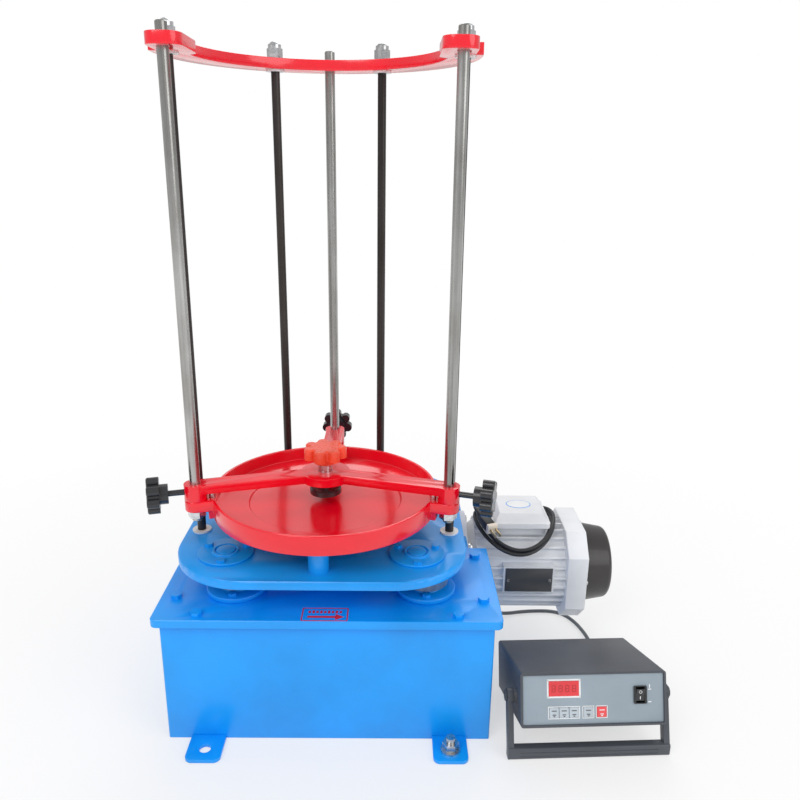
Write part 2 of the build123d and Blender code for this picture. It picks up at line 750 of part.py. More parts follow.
# Jolting cam and lifter
cam_z = LIFTER_LOW - MOVE_GAP - CAM_BASE_R
with BuildPart() as jolt_cam:
    with BuildSketch(Plane.YZ.offset(-CAM_T / 2)) as cam_face:
        with Locations((TABLE_Y, cam_z)):
            Circle(CAM_BASE_R)
        with BuildLine():
            steps = 22
            snail = []
            for index in range(steps + 1):
                share = index / steps
                angle = radians(90 + CAM_TURN * share)
                reach = CAM_BASE_R + JOLT * share
                snail.append((TABLE_Y + reach * cos(-angle + pi), cam_z + reach * sin(angle)))
            Spline(*snail)
            Line(snail[-1], (TABLE_Y, cam_z))
            Line((TABLE_Y, cam_z), snail[0])
        make_face()
    extrude(amount=CAM_T)
    with BuildSketch(Plane.YZ.offset(-REDUCER_X / 2)):
        with Locations((TABLE_Y, cam_z)):
            Circle(CAM_SHAFT_R)
    extrude(amount=REDUCER_X)
save(jolt_cam.part, "jolt_cam")

with BuildPart() as jolt_lifter:
    with BuildSketch(Plane((0, TABLE_Y, LIFTER_LOW))):
        Circle(LIFTER_FOOT_R)
    extrude(amount=LIFTER_FOOT_T)
    with BuildSketch(Plane((0, TABLE_Y, LIFTER_LOW))):
        Circle(LIFTER_R)
    extrude(amount=lifter_top - LIFTER_LOW)
    with BuildSketch(Plane((0, TABLE_Y, lifter_top - LIFTER_HEAD_T))):
        Circle(LIFTER_HEAD_R)
    extrude(amount=LIFTER_HEAD_T)
save(jolt_lifter.part, "jolt_lifter")

# Motor, along X from the stepped side of the box
motor_line = Plane((0, MOTOR_Y, MOTOR_Z), x_dir=(0, 1, 0), z_dir=(1, 0, 0))
flange_x = COVER_W / 2 - NOTCH_STEP - OVERHANG
body_x = flange_x + FLANGE_T + SHIELD_L
cover8_x = body_x + BODY_L
cowl_x = cover8_x + COVER8_T
with BuildPart() as motor_flange:
    with BuildSketch(motor_line.offset(flange_x)):
        Circle(FLANGE_R)
    extrude(amount=FLANGE_T)
    with BuildSketch(motor_line.offset(flange_x + FLANGE_T)):
        Circle(BODY_CORE_R - 8)
    with BuildSketch(motor_line.offset(body_x)):
        Circle(BODY_CORE_R + 3)
    loft()
    with BuildSketch(motor_line.offset(flange_x)):
        Circle(MOTOR_SHAFT_R + RUN_FIT)
    extrude(amount=FLANGE_T + SHIELD_L, mode=Mode.SUBTRACT)
save(motor_flange.part, "motor_flange")

with BuildPart() as motor_body:
    with BuildSketch(motor_line.offset(body_x)):
        Circle(BODY_CORE_R)
        fin_h = BODY_FIN_R - BODY_CORE_R + 4
        with PolarLocations(BODY_FIN_R - fin_h / 2, FIN_COUNT, start_angle=180 / FIN_COUNT):
            Rectangle(fin_h, FIN_T)
    extrude(amount=BODY_L)
    with BuildSketch(Plane((TBOX_X, MOTOR_Y, TBOX_LOW))):
        Rectangle(TBOX_BASE + 4, TBOX_BASE + 4)
        Rectangle(TBOX_BASE + 40, 3 * GLAND_R)
    extrude(amount=30, mode=Mode.SUBTRACT)
    with BuildSketch(Plane((TBOX_X, MOTOR_Y, TBOX_LOW))):
        Rectangle(TBOX_BASE, TBOX_BASE - 10)
    extrude(amount=-(TBOX_LOW - MOTOR_Z - 40))
    with BuildSketch(Plane.XZ.offset(-MOTOR_Y + BODY_FIN_R + 1)):
        with Locations((PLATE_X, PLATE_Z)):
            Rectangle(PLATE_W + 6, PLATE_H + 4)
    extrude(amount=-16)
    with BuildSketch(motor_line.offset(body_x)):
        Circle(MOTOR_SHAFT_R + RUN_FIT)
    extrude(amount=BODY_L, mode=Mode.SUBTRACT)
save(motor_body.part, "motor_body")

with BuildPart() as motor_rear_cover:
    with BuildSketch(motor_line.offset(cover8_x)):
        Rectangle(COVER8_A, COVER8_A)
    extrude(amount=COVER8_T)
    chamfer(motor_rear_cover.edges().filter_by(Axis.X), COVER8_CHAMFER)
    with BuildSketch(motor_line.offset(cover8_x)):
        Circle(MOTOR_SHAFT_R + RUN_FIT)
    extrude(amount=COVER8_T, mode=Mode.SUBTRACT)
save(motor_rear_cover.part, "motor_rear_cover")

with BuildPart() as fan_cowl:
    with BuildSketch(motor_line.offset(cowl_x)):
        Circle(COWL_R)
    with BuildSketch(motor_line.offset(cowl_x + COWL_L)):
        Circle(COWL_END_R)
    loft()
    fillet(fan_cowl.faces().sort_by(Axis.X)[-1].edges(), 9)
    with BuildSketch(motor_line.offset(cowl_x)):
        Circle(COWL_R - COWL_WALL - 1)
    with BuildSketch(motor_line.offset(cowl_x + COWL_L - COWL_WALL)):
        Circle(COWL_END_R - COWL_WALL - 6)
    loft(mode=Mode.SUBTRACT)
    with BuildSketch(motor_line.offset(cowl_x + COWL_L - COWL_WALL - 1)):
        with PolarLocations(27, 12):
            SlotOverall(26, 4)
    extrude(amount=COWL_WALL + 2, mode=Mode.SUBTRACT)
save(fan_cowl.part, "fan_cowl")

with BuildPart() as motor_shaft:
    shaft_start = REDUCER_X / 2 - 28
    with BuildSketch(motor_line.offset(shaft_start)):
        Circle(MOTOR_SHAFT_R)
    extrude(amount=cowl_x + 26 - shaft_start)
save(motor_shaft.part, "motor_shaft")

with BuildPart() as cooling_fan:
    with BuildSketch(motor_line.offset(cowl_x + 8)):
        Circle(FAN_R)
    extrude(amount=2)
    with BuildSketch(motor_line.offset(cowl_x + 8)):
        Circle(15)
    extrude(amount=FAN_T + 2)
    with BuildSketch(motor_line.offset(cowl_x + 10)):
        with PolarLocations(FAN_R / 2 + 6, 7):
            Rectangle(FAN_R - 14, 2.4)
    extrude(amount=FAN_T)
    with BuildSketch(motor_line.offset(cowl_x + 8)):
        Circle(MOTOR_SHAFT_R)
    extrude(amount=FAN_T + 2, mode=Mode.SUBTRACT)
save(cooling_fan.part, "cooling_fan")

plate_y = MOTOR_Y - BODY_FIN_R - 1
with BuildPart() as nameplate:
    with BuildSketch(Plane.XZ.offset(-plate_y)):
        with Locations((PLATE_X, PLATE_Z)):
            Rectangle(PLATE_W, PLATE_H)
    extrude(amount=PLATE_T)
    with BuildSketch(Plane.XZ.offset(-plate_y + PLATE_T)):
        with Locations((PLATE_X, PLATE_Z)):
            with GridLocations(PLATE_W - 9, 1, 2, 1):
                Circle(RIVET_R)
    extrude(amount=0.8)
save(nameplate.part, "nameplate")

# Terminal box on the motor
with BuildPart() as terminal_box:
    with BuildSketch(Plane((TBOX_X, MOTOR_Y, TBOX_LOW))):
        RectangleRounded(TBOX_BASE, TBOX_BASE, 5)
    extrude(amount=TBOX_BASE_H)
save(terminal_box.part, "terminal_box")

with BuildPart() as terminal_box_lid:
    with BuildSketch(Plane((TBOX_X, MOTOR_Y, TBOX_LOW + TBOX_BASE_H))):
        RectangleRounded(TBOX_LID, TBOX_LID, 6)
    extrude(amount=TBOX_FLANGE_H)
    with BuildSketch(Plane((TBOX_X, MOTOR_Y, TBOX_LOW + TBOX_BASE_H + TBOX_FLANGE_H))):
        RectangleRounded(TBOX_LID - 3, TBOX_LID - 3, 5)
    extrude(amount=TBOX_LID_H, taper=38)
    fillet(terminal_box_lid.faces().sort_by(Axis.Z)[-1].edges(), 2)
save(terminal_box_lid.part, "terminal_box_lid")


def gland(plane):
    """A cable gland: hexagon, then a round nut; the cord leaves its end face."""
    with BuildSketch(plane) as flats:
        RegularPolygon(hex_r(2 * GLAND_R - 1), 6)
    extrude(flats.sketch, amount=GLAND_L - 4)
    with BuildSketch(plane.offset(GLAND_L - 4)) as nut:
        Circle(GLAND_R - 1)
    extrude(nut.sketch, amount=4)


# Timer box, tilted on its bail: its own plane has X along the front, Y to the rear
lean = radians(BOX_TILT)
turn = radians(BOX_YAW)
across = Vector(cos(turn), sin(turn), 0)
rearward = Vector(-sin(turn) * cos(lean), cos(turn) * cos(lean), -sin(lean))
box_plane = Plane(BOX_ORIGIN, x_dir=across, z_dir=across.cross(rearward))


def front_plane(depth, x=0.0, z=0.0):
    """A plane in the timer box that faces the operator, depth behind its front edge."""
    return Plane(box_plane.from_local_coords((x, depth, z)), x_dir=across, z_dir=-rearward)


inner_w = CASE_W - 2 * CASE_WALL
inner_h = CASE_H - 2 * CASE_WALL
centre = (CASE_W / 2, CASE_H / 2)
left_side = Plane(box_plane.from_local_coords((0, BAIL_PIVOT_Y, BAIL_PIVOT_Z)),
                  x_dir=(sin(turn), -cos(turn), 0), z_dir=-across)
with BuildPart() as timer_case:
    with BuildSketch(front_plane(0)):
        with Locations(centre):
            RectangleRounded(CASE_W, CASE_H, CASE_CORNER)
            Rectangle(inner_w, inner_h, mode=Mode.SUBTRACT)
    extrude(amount=-CASE_D)
    for start, away in ((0, 1), (-CASE_W, -1)):
        with BuildSketch(left_side.offset(start)):
            Circle(STUB_R)
        extrude(amount=away * (BAIL_GAP - MOVE_GAP))
        with BuildSketch(left_side.offset(start)):
            Circle(PIVOT_PIN_R)
        extrude(amount=away * (BAIL_GAP + BAIL_T + MOVE_GAP))
        with BuildSketch(left_side.offset(start + away * (BAIL_GAP + BAIL_T + MOVE_GAP))):
            Circle(7)
        extrude(amount=away * 2)
save(timer_case.part, "timer_case")

key_places = [(x, KEY_Z) for x in KEY_XS.values()]
with BuildPart() as timer_front:
    with BuildSketch(front_plane(PANEL_INSET)):
        with Locations(centre):
            Rectangle(inner_w, inner_h)
        with Locations(key_places):
            Rectangle(KEY_W + 2 * KEY_GAP, KEY_H + 2 * KEY_GAP, mode=Mode.SUBTRACT)
        with Locations((DISPLAY_X, DISPLAY_Z)):
            Rectangle(DISPLAY_W, DISPLAY_H, mode=Mode.SUBTRACT)
        with Locations((ROCKER_X, ROCKER_Z)):
            Rectangle(BEZEL_W - 2, BEZEL_H - 1, mode=Mode.SUBTRACT)
    extrude(amount=-PANEL_T)
save(timer_front.part, "timer_front")

gland_plane = Plane(box_plane.from_local_coords((138, CASE_D, 36)), x_dir=across, z_dir=rearward)
with BuildPart() as timer_rear:
    with BuildSketch(front_plane(CASE_D - PANEL_T)):
        with Locations(centre):
            Rectangle(inner_w, inner_h)
    extrude(amount=-PANEL_T)
    gland(gland_plane)
save(timer_rear.part, "timer_rear")

board_depth = PANEL_INSET + 8
with BuildPart() as display:
    with BuildSketch(front_plane(PANEL_INSET - 0.8)):
        with Locations((DISPLAY_X, DISPLAY_Z)):
            Rectangle(DISPLAY_W, DISPLAY_H)
    extrude(amount=-(board_depth - PANEL_INSET + 0.8))
save(display.part, "display")

for name, key_x in KEY_XS.items():
    with BuildPart() as key:
        with BuildSketch(front_plane(PANEL_INSET - KEY_PROUD)):
            with Locations((key_x, KEY_Z)):
                RectangleRounded(KEY_W, KEY_H, 1.2)
        extrude(amount=-(KEY_PROUD + 6.7))
        chamfer(key.faces().sort_by(Axis((0, 0, 0), tuple(rearward)))[0].edges(), 0.5)
    save(key.part, name)

pivot_depth = PANEL_INSET + 3
with BuildPart() as rocker_bezel:
    with BuildSketch(front_plane(PANEL_INSET)):
        with Locations((ROCKER_X, ROCKER_Z)):
            RectangleRounded(BEZEL_W, BEZEL_H, 1.5)
    extrude(amount=1.6)
    with BuildSketch(front_plane(PANEL_INSET)):
        with Locations((ROCKER_X, ROCKER_Z)):
            Rectangle(BEZEL_W - 2, BEZEL_H - 1)
    extrude(amount=-14)
    with BuildSketch(front_plane(PANEL_INSET - 1.6)):
        with Locations((ROCKER_X, ROCKER_Z)):
            Rectangle(ROCKER_W + 2 * KEY_GAP, BEZEL_H - 2)
    extrude(amount=-14, mode=Mode.SUBTRACT)
    pin_plane = Plane(box_plane.from_local_coords((ROCKER_X - ROCKER_W / 2 - 1.2, pivot_depth, ROCKER_Z)),
                      x_dir=rearward, z_dir=across)
    with BuildSketch(pin_plane):
        Circle(1.2 + RUN_FIT)
    extrude(amount=ROCKER_W + 2.4, mode=Mode.SUBTRACT)
save(rocker_bezel.part, "rocker_bezel")

half_h = ROCKER_H / 2
rocker_plane = Plane(box_plane.from_local_coords((ROCKER_X - ROCKER_W / 2, PANEL_INSET, ROCKER_Z)),
                     x_dir=-rearward, z_dir=-across)
with BuildPart() as rocker:
    with BuildSketch(rocker_plane):
        with BuildLine():
            Polyline((-7, -5), (0.6, -half_h), (1.2, 0), (3.4, half_h), (-7, 5), close=True)
        make_face()
    extrude(amount=-ROCKER_W)
    with BuildSketch(pin_plane.offset(0.1)):
        Circle(1.2)
    extrude(amount=ROCKER_W + 2.2)
save(rocker.part, "rocker")

# Bail: two arms and the bar that stands on the floor
pivot_z = box_plane.from_local_coords((0, BAIL_PIVOT_Y, BAIL_PIVOT_Z)).Z
bar_mid = (BAIL_REACH, BAIL_BAR / 2 - pivot_z)
arm_len = sqrt(bar_mid[0] ** 2 + bar_mid[1] ** 2)
arm_turn = degrees(atan2(bar_mid[1], bar_mid[0]))
bail_out = BAIL_GAP + BAIL_T
with BuildPart() as bail:
    for start in (BAIL_GAP, -CASE_W - bail_out):
        with BuildSketch(left_side.offset(start)):
            Circle(BAIL_ARM_W / 2 + 4)
            with Locations(Location((bar_mid[0] / 2, bar_mid[1] / 2, 0), (0, 0, arm_turn))):
                Rectangle(arm_len, BAIL_ARM_W)
        extrude(amount=BAIL_T)
    with BuildSketch(left_side.offset(-CASE_W - bail_out)):
        with Locations(bar_mid):
            RectangleRounded(BAIL_BAR_D, BAIL_BAR, 3)
    extrude(amount=CASE_W + 2 * bail_out)
    for start in (BAIL_GAP, -CASE_W - bail_out):
        with BuildSketch(left_side.offset(start)):
            Circle(PIVOT_PIN_R + RUN_FIT)
        extrude(amount=BAIL_T, mode=Mode.SUBTRACT)
    for level in (5.2, 11.0):
        groove = left_side.offset(-CASE_W + 4)
        with BuildSketch(groove):
            with Locations((BAIL_REACH + BAIL_BAR_D / 2, level - pivot_z)):
                Rectangle(1.6, 1.6)
        extrude(amount=CASE_W - 8, mode=Mode.SUBTRACT)
save(bail.part, "bail")

FOOT_PAD_R = 6.0
foot_y = CASE_D - FOOT_PAD_R - 3
foot_h = (BOX_ORIGIN[2] - (foot_y + FOOT_PAD_R) * sin(lean)) / cos(lean)
with BuildPart() as timer_feet:
    with BuildSketch(box_plane):
        with Locations((16, foot_y), (CASE_W - 16, foot_y)):
            Circle(FOOT_PAD_R)
    extrude(amount=-foot_h)
save(timer_feet.part, "timer_feet")


def bend_radii(points):
    """One radius for each bend: as wide as its two runs allow."""
    found = []
    for before, here, after in zip(points, points[1:], points[2:]):
        one = Vector(*here) - Vector(*before)
        two = Vector(*after) - Vector(*here)
        half = radians(one.get_angle(two)) / 2
        found.append(0.45 * min(one.length, two.length) / tan(half))
    return found


def cord(points, radius):
    with BuildLine() as path:
        FilletPolyline(*points, radius=bend_radii(points))
    with BuildSketch(Plane(path.line @ 0, z_dir=path.line % 0)) as section:
        Circle(radius)
    sweep(section.sketch, path=path.line)


# Glands of the base box and of the terminal box
BASE_GLAND = (96.0, 20.0)
TBOX_GLAND_Z = TBOX_LOW + 7.5
with BuildPart() as cord_glands:
    gland(Plane((flange_x, BASE_GLAND[0], BASE_GLAND[1]), x_dir=(0, 1, 0), z_dir=(1, 0, 0)))
    gland(Plane((TBOX_X - TBOX_BASE / 2, MOTOR_Y, TBOX_GLAND_Z), x_dir=(0, 1, 0), z_dir=(-1, 0, 0)))
save(cord_glands.part, "cord_glands")

# Timer cord on the floor, from the base box to the back of the timer box
timer_end = box_plane.from_local_coords((138, CASE_D + GLAND_L, 36))
timer_next = box_plane.from_local_coords((138, CASE_D + GLAND_L + 28, 36))
timer_cord_points = [(flange_x + GLAND_L, BASE_GLAND[0], BASE_GLAND[1]), (228, BASE_GLAND[0], BASE_GLAND[1]),
                     (268, 100, 4), (318, 113, 3.1), (368, 113, 3.1), (391, 88, 3.1), (404, 42, 3.1), (403, -4, 6),
                     tuple(timer_next), tuple(timer_end)]
with BuildPart() as timer_cord:
    cord(timer_cord_points, CORD_R)
save(timer_cord.part, "timer_cord")

# Mains cord: a short lead to a coil that hangs over the motor, then the plug
COIL_R = 8.0
coil_points = [(214, 58, 203), (220, 19, 187), (251, 1, 177), (284, -2, 175), (317, 1, 177), (340, 20, 189),
               (343, 64, 205), (343, 112, 202), (323, 150, 183), (284, 156, 175), (244, 150, 183), (219, 106, 203)]

PLUG_START = Vector(223, 45, 215)
plug_dir = Vector(0.376, -0.906, -0.19).normalized()
plug_plane = Plane(PLUG_START, x_dir=(0.926, 0.376, 0), z_dir=plug_dir)
with BuildPart() as mains_plug:
    with BuildSketch(plug_plane):
        RectangleRounded(17, 15, 5)
    extrude(amount=34)
    with BuildSketch(plug_plane):
        Circle(4.5)
    extrude(amount=-16)
    with BuildSketch(plug_plane.offset(34)):
        with GridLocations(9, 1, 2, 1):
            Rectangle(1.6, 5)
    extrude(amount=17)
save(mains_plug.part, "mains_plug")

lead_start = (TBOX_X - TBOX_BASE / 2 - GLAND_L, MOTOR_Y, TBOX_GLAND_Z)
lead_points = [lead_start, (231, MOTOR_Y, TBOX_GLAND_Z), (227.2, 81.5, 194)]
plug_back = PLUG_START - plug_dir * 16
tail_points = [tuple(plug_back), tuple(plug_back - plug_dir * 9), (215, 84, 212.5)]
half = len(coil_points) // 2
joints = [(Vector(*coil_points[n - 1]) + Vector(*coil_points[n])) * 0.5 for n in (0, half)]
with BuildPart() as mains_cord:
    cord([tuple(joints[0])] + coil_points[:half] + [tuple(joints[1])], COIL_R)
    cord([tuple(joints[1])] + coil_points[half:] + [tuple(joints[0])], COIL_R)
    cord(lead_points, CORD_R)
    cord(tail_points, CORD_R)
save(mains_cord.part, "mains_cord")

for name, points in (("timer cord", timer_cord_points), ("mains lead", lead_points), ("plug tail", tail_points)):
    print(name, "bend radii", [round(r, 1) for r in bend_radii(points)])
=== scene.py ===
"""Sieve shaker on a studio floor: finishes for the machine and its timer box,
softened edges, cords, marks and small fittings, laid out as an add-on."""
import json
from math import cos, pi, radians, sin

import bpy
from bpy.props import BoolProperty, FloatProperty, FloatVectorProperty, IntProperty, PointerProperty
from mathutils import Matrix, Vector


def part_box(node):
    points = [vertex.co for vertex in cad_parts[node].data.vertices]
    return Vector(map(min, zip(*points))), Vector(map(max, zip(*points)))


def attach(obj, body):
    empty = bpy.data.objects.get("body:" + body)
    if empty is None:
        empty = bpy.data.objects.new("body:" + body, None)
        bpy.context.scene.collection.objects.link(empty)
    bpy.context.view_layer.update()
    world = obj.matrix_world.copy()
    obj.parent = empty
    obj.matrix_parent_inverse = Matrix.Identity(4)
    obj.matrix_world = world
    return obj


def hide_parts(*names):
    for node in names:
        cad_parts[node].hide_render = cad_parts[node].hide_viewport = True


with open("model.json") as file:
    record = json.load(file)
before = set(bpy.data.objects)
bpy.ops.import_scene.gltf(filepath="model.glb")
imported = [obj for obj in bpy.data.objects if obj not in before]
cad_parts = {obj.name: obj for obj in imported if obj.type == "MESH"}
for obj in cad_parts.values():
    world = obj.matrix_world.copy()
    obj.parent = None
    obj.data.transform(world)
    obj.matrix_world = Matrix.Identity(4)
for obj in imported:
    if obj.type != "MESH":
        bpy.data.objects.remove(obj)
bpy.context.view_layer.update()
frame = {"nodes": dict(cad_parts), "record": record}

bl_info = {
    "name": "Sieve Shaker",
    "version": (1, 0, 0),
    "blender": (4, 5, 0),
    "location": "View3D > Sidebar > Sieve Shaker",
    "description": "Dresses a sieve shaker: paint, steel, knobs, cords and its timer box",
    "category": "Object",
}

MM = 0.001


def colour(name, default, text):
    return FloatVectorProperty(name=name, description=text, subtype="COLOR", size=3, min=0, max=1,
                               default=default)


def length(name, default, text, low=0.0001, high=2.0):
    return FloatProperty(name=name, description=text, unit="LENGTH", default=default, min=low, max=high,
                         precision=4)


class ShakerFinishes(bpy.types.PropertyGroup):
    blue: colour("Blue enamel", (0.0, 0.335, 0.93), "Paint of the box, cover and table")
    red: colour("Red enamel", (0.90, 0.0, 0.016), "Paint of the tray, clamp and top plate")
    silver: colour("Silver paint", (0.83, 0.85, 0.88), "Paint of the motor")
    knob_red: colour("Knob red", (0.87, 0.075, 0.03), "Plastic of the centre knob")
    case_grey: colour("Case grey", (0.072, 0.080, 0.095), "Plastic of the timer box")
    panel_grey: colour("Panel grey", (0.31, 0.375, 0.43), "Front of the timer box")
    display: colour("Display red", (0.80, 0.05, 0.06), "Window of the display")


class ShakerSizes(bpy.types.PropertyGroup):
    sheet_edge: length("Sheet edge", 0.0008, "Rounding of plate edges")
    cast_edge: length("Cast edge", 0.0016, "Rounding of cast and welded pieces")
    cord: length("Cord diameter", 0.006, "Outside diameter of both cords")
    coil_turns: IntProperty(name="Coil turns", description="Turns of the mains cord over the motor",
                            default=4, min=2, max=4)
    mark: length("Mark thickness", 0.00015, "Thickness of printed marks")
    marks: BoolProperty(name="Arrow mark", description="Print the direction arrow on the cover", default=True)


class ShakerStage(bpy.types.PropertyGroup):
    lamp: FloatProperty(name="Lamp strength", description="Power of one soft lamp in watts",
                        default=26.0, min=0, max=500)
    sky: FloatProperty(name="Sky strength", description="Brightness of the even light around",
                       default=0.62, min=0, max=3)


# Materials: every one has its own grain on object coordinates

def node_tree(name):
    made = bpy.data.materials.new(name)
    made.use_nodes = True
    tree = made.node_tree
    shader = tree.nodes["Principled BSDF"]
    place = tree.nodes.new("ShaderNodeTexCoord")
    return made, tree, shader, place


def grain(tree, place, scale, stretch=(1, 1, 1), detail=4.0, rough=0.55):
    mapping = tree.nodes.new("ShaderNodeMapping")
    mapping.inputs["Scale"].default_value = stretch
    noise = tree.nodes.new("ShaderNodeTexNoise")
    noise.inputs["Scale"].default_value = scale
    noise.inputs["Detail"].default_value = detail
    noise.inputs["Roughness"].default_value = rough
    tree.links.new(place.outputs["Object"], mapping.inputs["Vector"])
    tree.links.new(mapping.outputs["Vector"], noise.inputs["Vector"])
    return noise.outputs["Fac"]


def ramp(tree, source, low, high, one, two):
    made = tree.nodes.new("ShaderNodeValToRGB")
    made.color_ramp.elements[0].position = low
    made.color_ramp.elements[1].position = high
    made.color_ramp.elements[0].color = (*one, 1)
    made.color_ramp.elements[1].color = (*two, 1)
    tree.links.new(source, made.inputs["Fac"])
    return made.outputs["Color"]


def spread(tree, source, low, high):
    made = tree.nodes.new("ShaderNodeMapRange")
    made.inputs["From Min"].default_value = 0.3
    made.inputs["From Max"].default_value = 0.7
    made.inputs["To Min"].default_value = low
    made.inputs["To Max"].default_value = high
    tree.links.new(source, made.inputs["Value"])
    return made.outputs["Result"]


def bumps(tree, shader, source, strength, distance):
    made = tree.nodes.new("ShaderNodeBump")
    made.inputs["Strength"].default_value = strength
    made.inputs["Distance"].default_value = distance
    tree.links.new(source, made.inputs["Height"])
    tree.links.new(made.outputs["Normal"], shader.inputs["Normal"])


def seen_by(tree, *rays):
    """1 for a ray of either kind, 0 for the rest."""
    path = tree.nodes.new("ShaderNodeLightPath")
    seen = tree.nodes.new("ShaderNodeMath")
    seen.operation = "MAXIMUM"
    for slot, ray in enumerate(rays):
        tree.links.new(path.outputs["Is " + ray + " Ray"], seen.inputs[slot])
    return seen.outputs["Value"]


def tint(rgb, factor):
    return tuple(min(1.0, c * factor) for c in rgb)


def enamel(name, rgb, rough=0.26, peel=0.12, coat=0.25, dust=0.0):
    """Brushed or sprayed enamel: gentle cloudiness, orange peel and a little dust."""
    made, tree, shader, place = node_tree(name)
    clouds = grain(tree, place, 9, detail=6)
    base = ramp(tree, clouds, 0.32, 0.68, tint(rgb, 0.90), tint(rgb, 1.08))
    if dust:
        specks = grain(tree, place, 260, detail=8, rough=0.7)
        mask = ramp(tree, specks, 0.64, 0.74, (0, 0, 0), (dust, dust, dust))
        mixed = tree.nodes.new("ShaderNodeMix")
        mixed.data_type = "RGBA"
        tree.links.new(mask, mixed.inputs["Factor"])
        tree.links.new(base, mixed.inputs["A"])
        mixed.inputs["B"].default_value = (0.55, 0.60, 0.66, 1)
        base = mixed.outputs["Result"]
    tree.links.new(base, shader.inputs["Base Color"])
    tree.links.new(spread(tree, clouds, rough, rough + 0.12), shader.inputs["Roughness"])
    shader.inputs["Coat Weight"].default_value = coat
    shader.inputs["Coat Roughness"].default_value = 0.12
    bumps(tree, shader, grain(tree, place, 420, detail=3), peel, 0.0002)
    return made


def metal(name, dark, light, rough, stretch=(1, 1, 1), scale=160, depth=0.1, metallic=1.0):
    made, tree, shader, place = node_tree(name)
    lines = grain(tree, place, scale, stretch, detail=7, rough=0.65)
    stains = grain(tree, place, 22, (1, 1, 0.4), detail=5)
    base = ramp(tree, lines, 0.30, 0.70, dark, light)
    patchy = tree.nodes.new("ShaderNodeMix")
    patchy.data_type = "RGBA"
    patchy.blend_type = "MULTIPLY"
    tree.links.new(ramp(tree, stains, 0.35, 0.62, (0.62, 0.60, 0.58), (1, 1, 1)), patchy.inputs["B"])
    tree.links.new(base, patchy.inputs["A"])
    patchy.inputs["Factor"].default_value = 0.8
    tree.links.new(patchy.outputs["Result"], shader.inputs["Base Color"])
    tree.links.new(spread(tree, lines, rough, rough + 0.16), shader.inputs["Roughness"])
    shader.inputs["Metallic"].default_value = metallic
    bumps(tree, shader, lines, depth, 0.0001)
    return made


def plastic(name, rgb, rough=0.45, scale=900, depth=0.25, coat=0.0):
    made, tree, shader, place = node_tree(name)
    fine = grain(tree, place, scale, detail=4)
    clouds = grain(tree, place, 14, detail=4)
    base = ramp(tree, clouds, 0.3, 0.7, tint(rgb, 0.88), tint(rgb, 1.12))
    tree.links.new(base, shader.inputs["Base Color"])
    tree.links.new(spread(tree, fine, rough, rough + 0.14), shader.inputs["Roughness"])
    shader.inputs["Coat Weight"].default_value = coat
    bumps(tree, shader, fine, depth, 0.00012)
    return made


def make_materials(f):
    rods = (1, 1, 0.015)
    return {
        "blue": enamel("blue enamel", tuple(f.blue), 0.30, dust=0.25),
        "red": enamel("red enamel", tuple(f.red), 0.16, 0.07, 0.6),
        "silver": enamel("silver motor paint", tuple(f.silver), 0.38, 0.35, 0.1),
        "shield": enamel("machined motor end", (0.74, 0.75, 0.77), 0.42, 0.2, 0.0),
        "rod": metal("ground rod", (0.22, 0.22, 0.21), (0.66, 0.66, 0.65), 0.18, rods, 90, 0.12),
        "dark rod": metal("dark column", (0.018, 0.016, 0.016), (0.075, 0.066, 0.062), 0.28, rods, 70,
                          0.15, 0.7),
        "zinc": metal("zinc plated nut", (0.50, 0.52, 0.55), (0.86, 0.87, 0.88), 0.20, scale=220),
        "steel": metal("bare steel", (0.28, 0.28, 0.29), (0.60, 0.60, 0.61), 0.30, (1, 1, 0.2), 120),
        "iron": metal("dark cast iron", (0.10, 0.10, 0.11), (0.24, 0.24, 0.25), 0.5, scale=300, depth=0.5),
        "washer": plastic("nylon washer", (0.82, 0.83, 0.83), 0.4),
        "black": plastic("black knob", (0.018, 0.019, 0.022), 0.24, 300, 0.06, 0.3),
        "cowl": plastic("black cowl", (0.030, 0.026, 0.026), 0.34, 500, 0.15, 0.2),
        "knob red": plastic("orange red knob", tuple(f.knob_red), 0.22, 300, 0.06, 0.4),
        "case": plastic("timer case", tuple(f.case_grey), 0.42, 1300, 0.5),
        "bail": plastic("bail plastic", tuple(f.case_grey), 0.36, 900, 0.3),
        "panel": enamel("timer panel", tuple(f.panel_grey), 0.42, 0.1, 0.0),
        "white": plastic("white print", (0.85, 0.87, 0.88), 0.5),
        "key": plastic("pale key", (0.50, 0.56, 0.61), 0.4),
        "red key": plastic("red key", (0.85, 0.09, 0.10), 0.4),
        "window": plastic("display window", tuple(f.display), 0.12, 300, 0.02, 0.5),
        "digit": plastic("dim digit", (0.42, 0.02, 0.03), 0.4),
        "rubber": plastic("black cord", (0.020, 0.021, 0.023), 0.40, 700, 0.25),
        # Painted light: the timer cord is the same black cord as the mains cord, coloured lighter grey to
        # stand in for the stronger light on the floor.
        "black cord with painted light": plastic("black cord with painted light", (0.16, 0.17, 0.18), 0.36, 700, 0.2),
        "brass": metal("brass pin", (0.60, 0.44, 0.22), (0.86, 0.72, 0.46), 0.25, scale=200),
        "cream": plastic("cream plug face", (0.82, 0.74, 0.62), 0.4),
        "plate": plastic("dark name plate", (0.055, 0.058, 0.064), 0.45, 500, 0.3),
        "print red": plastic("red print", (0.72, 0.015, 0.02), 0.45),
    }


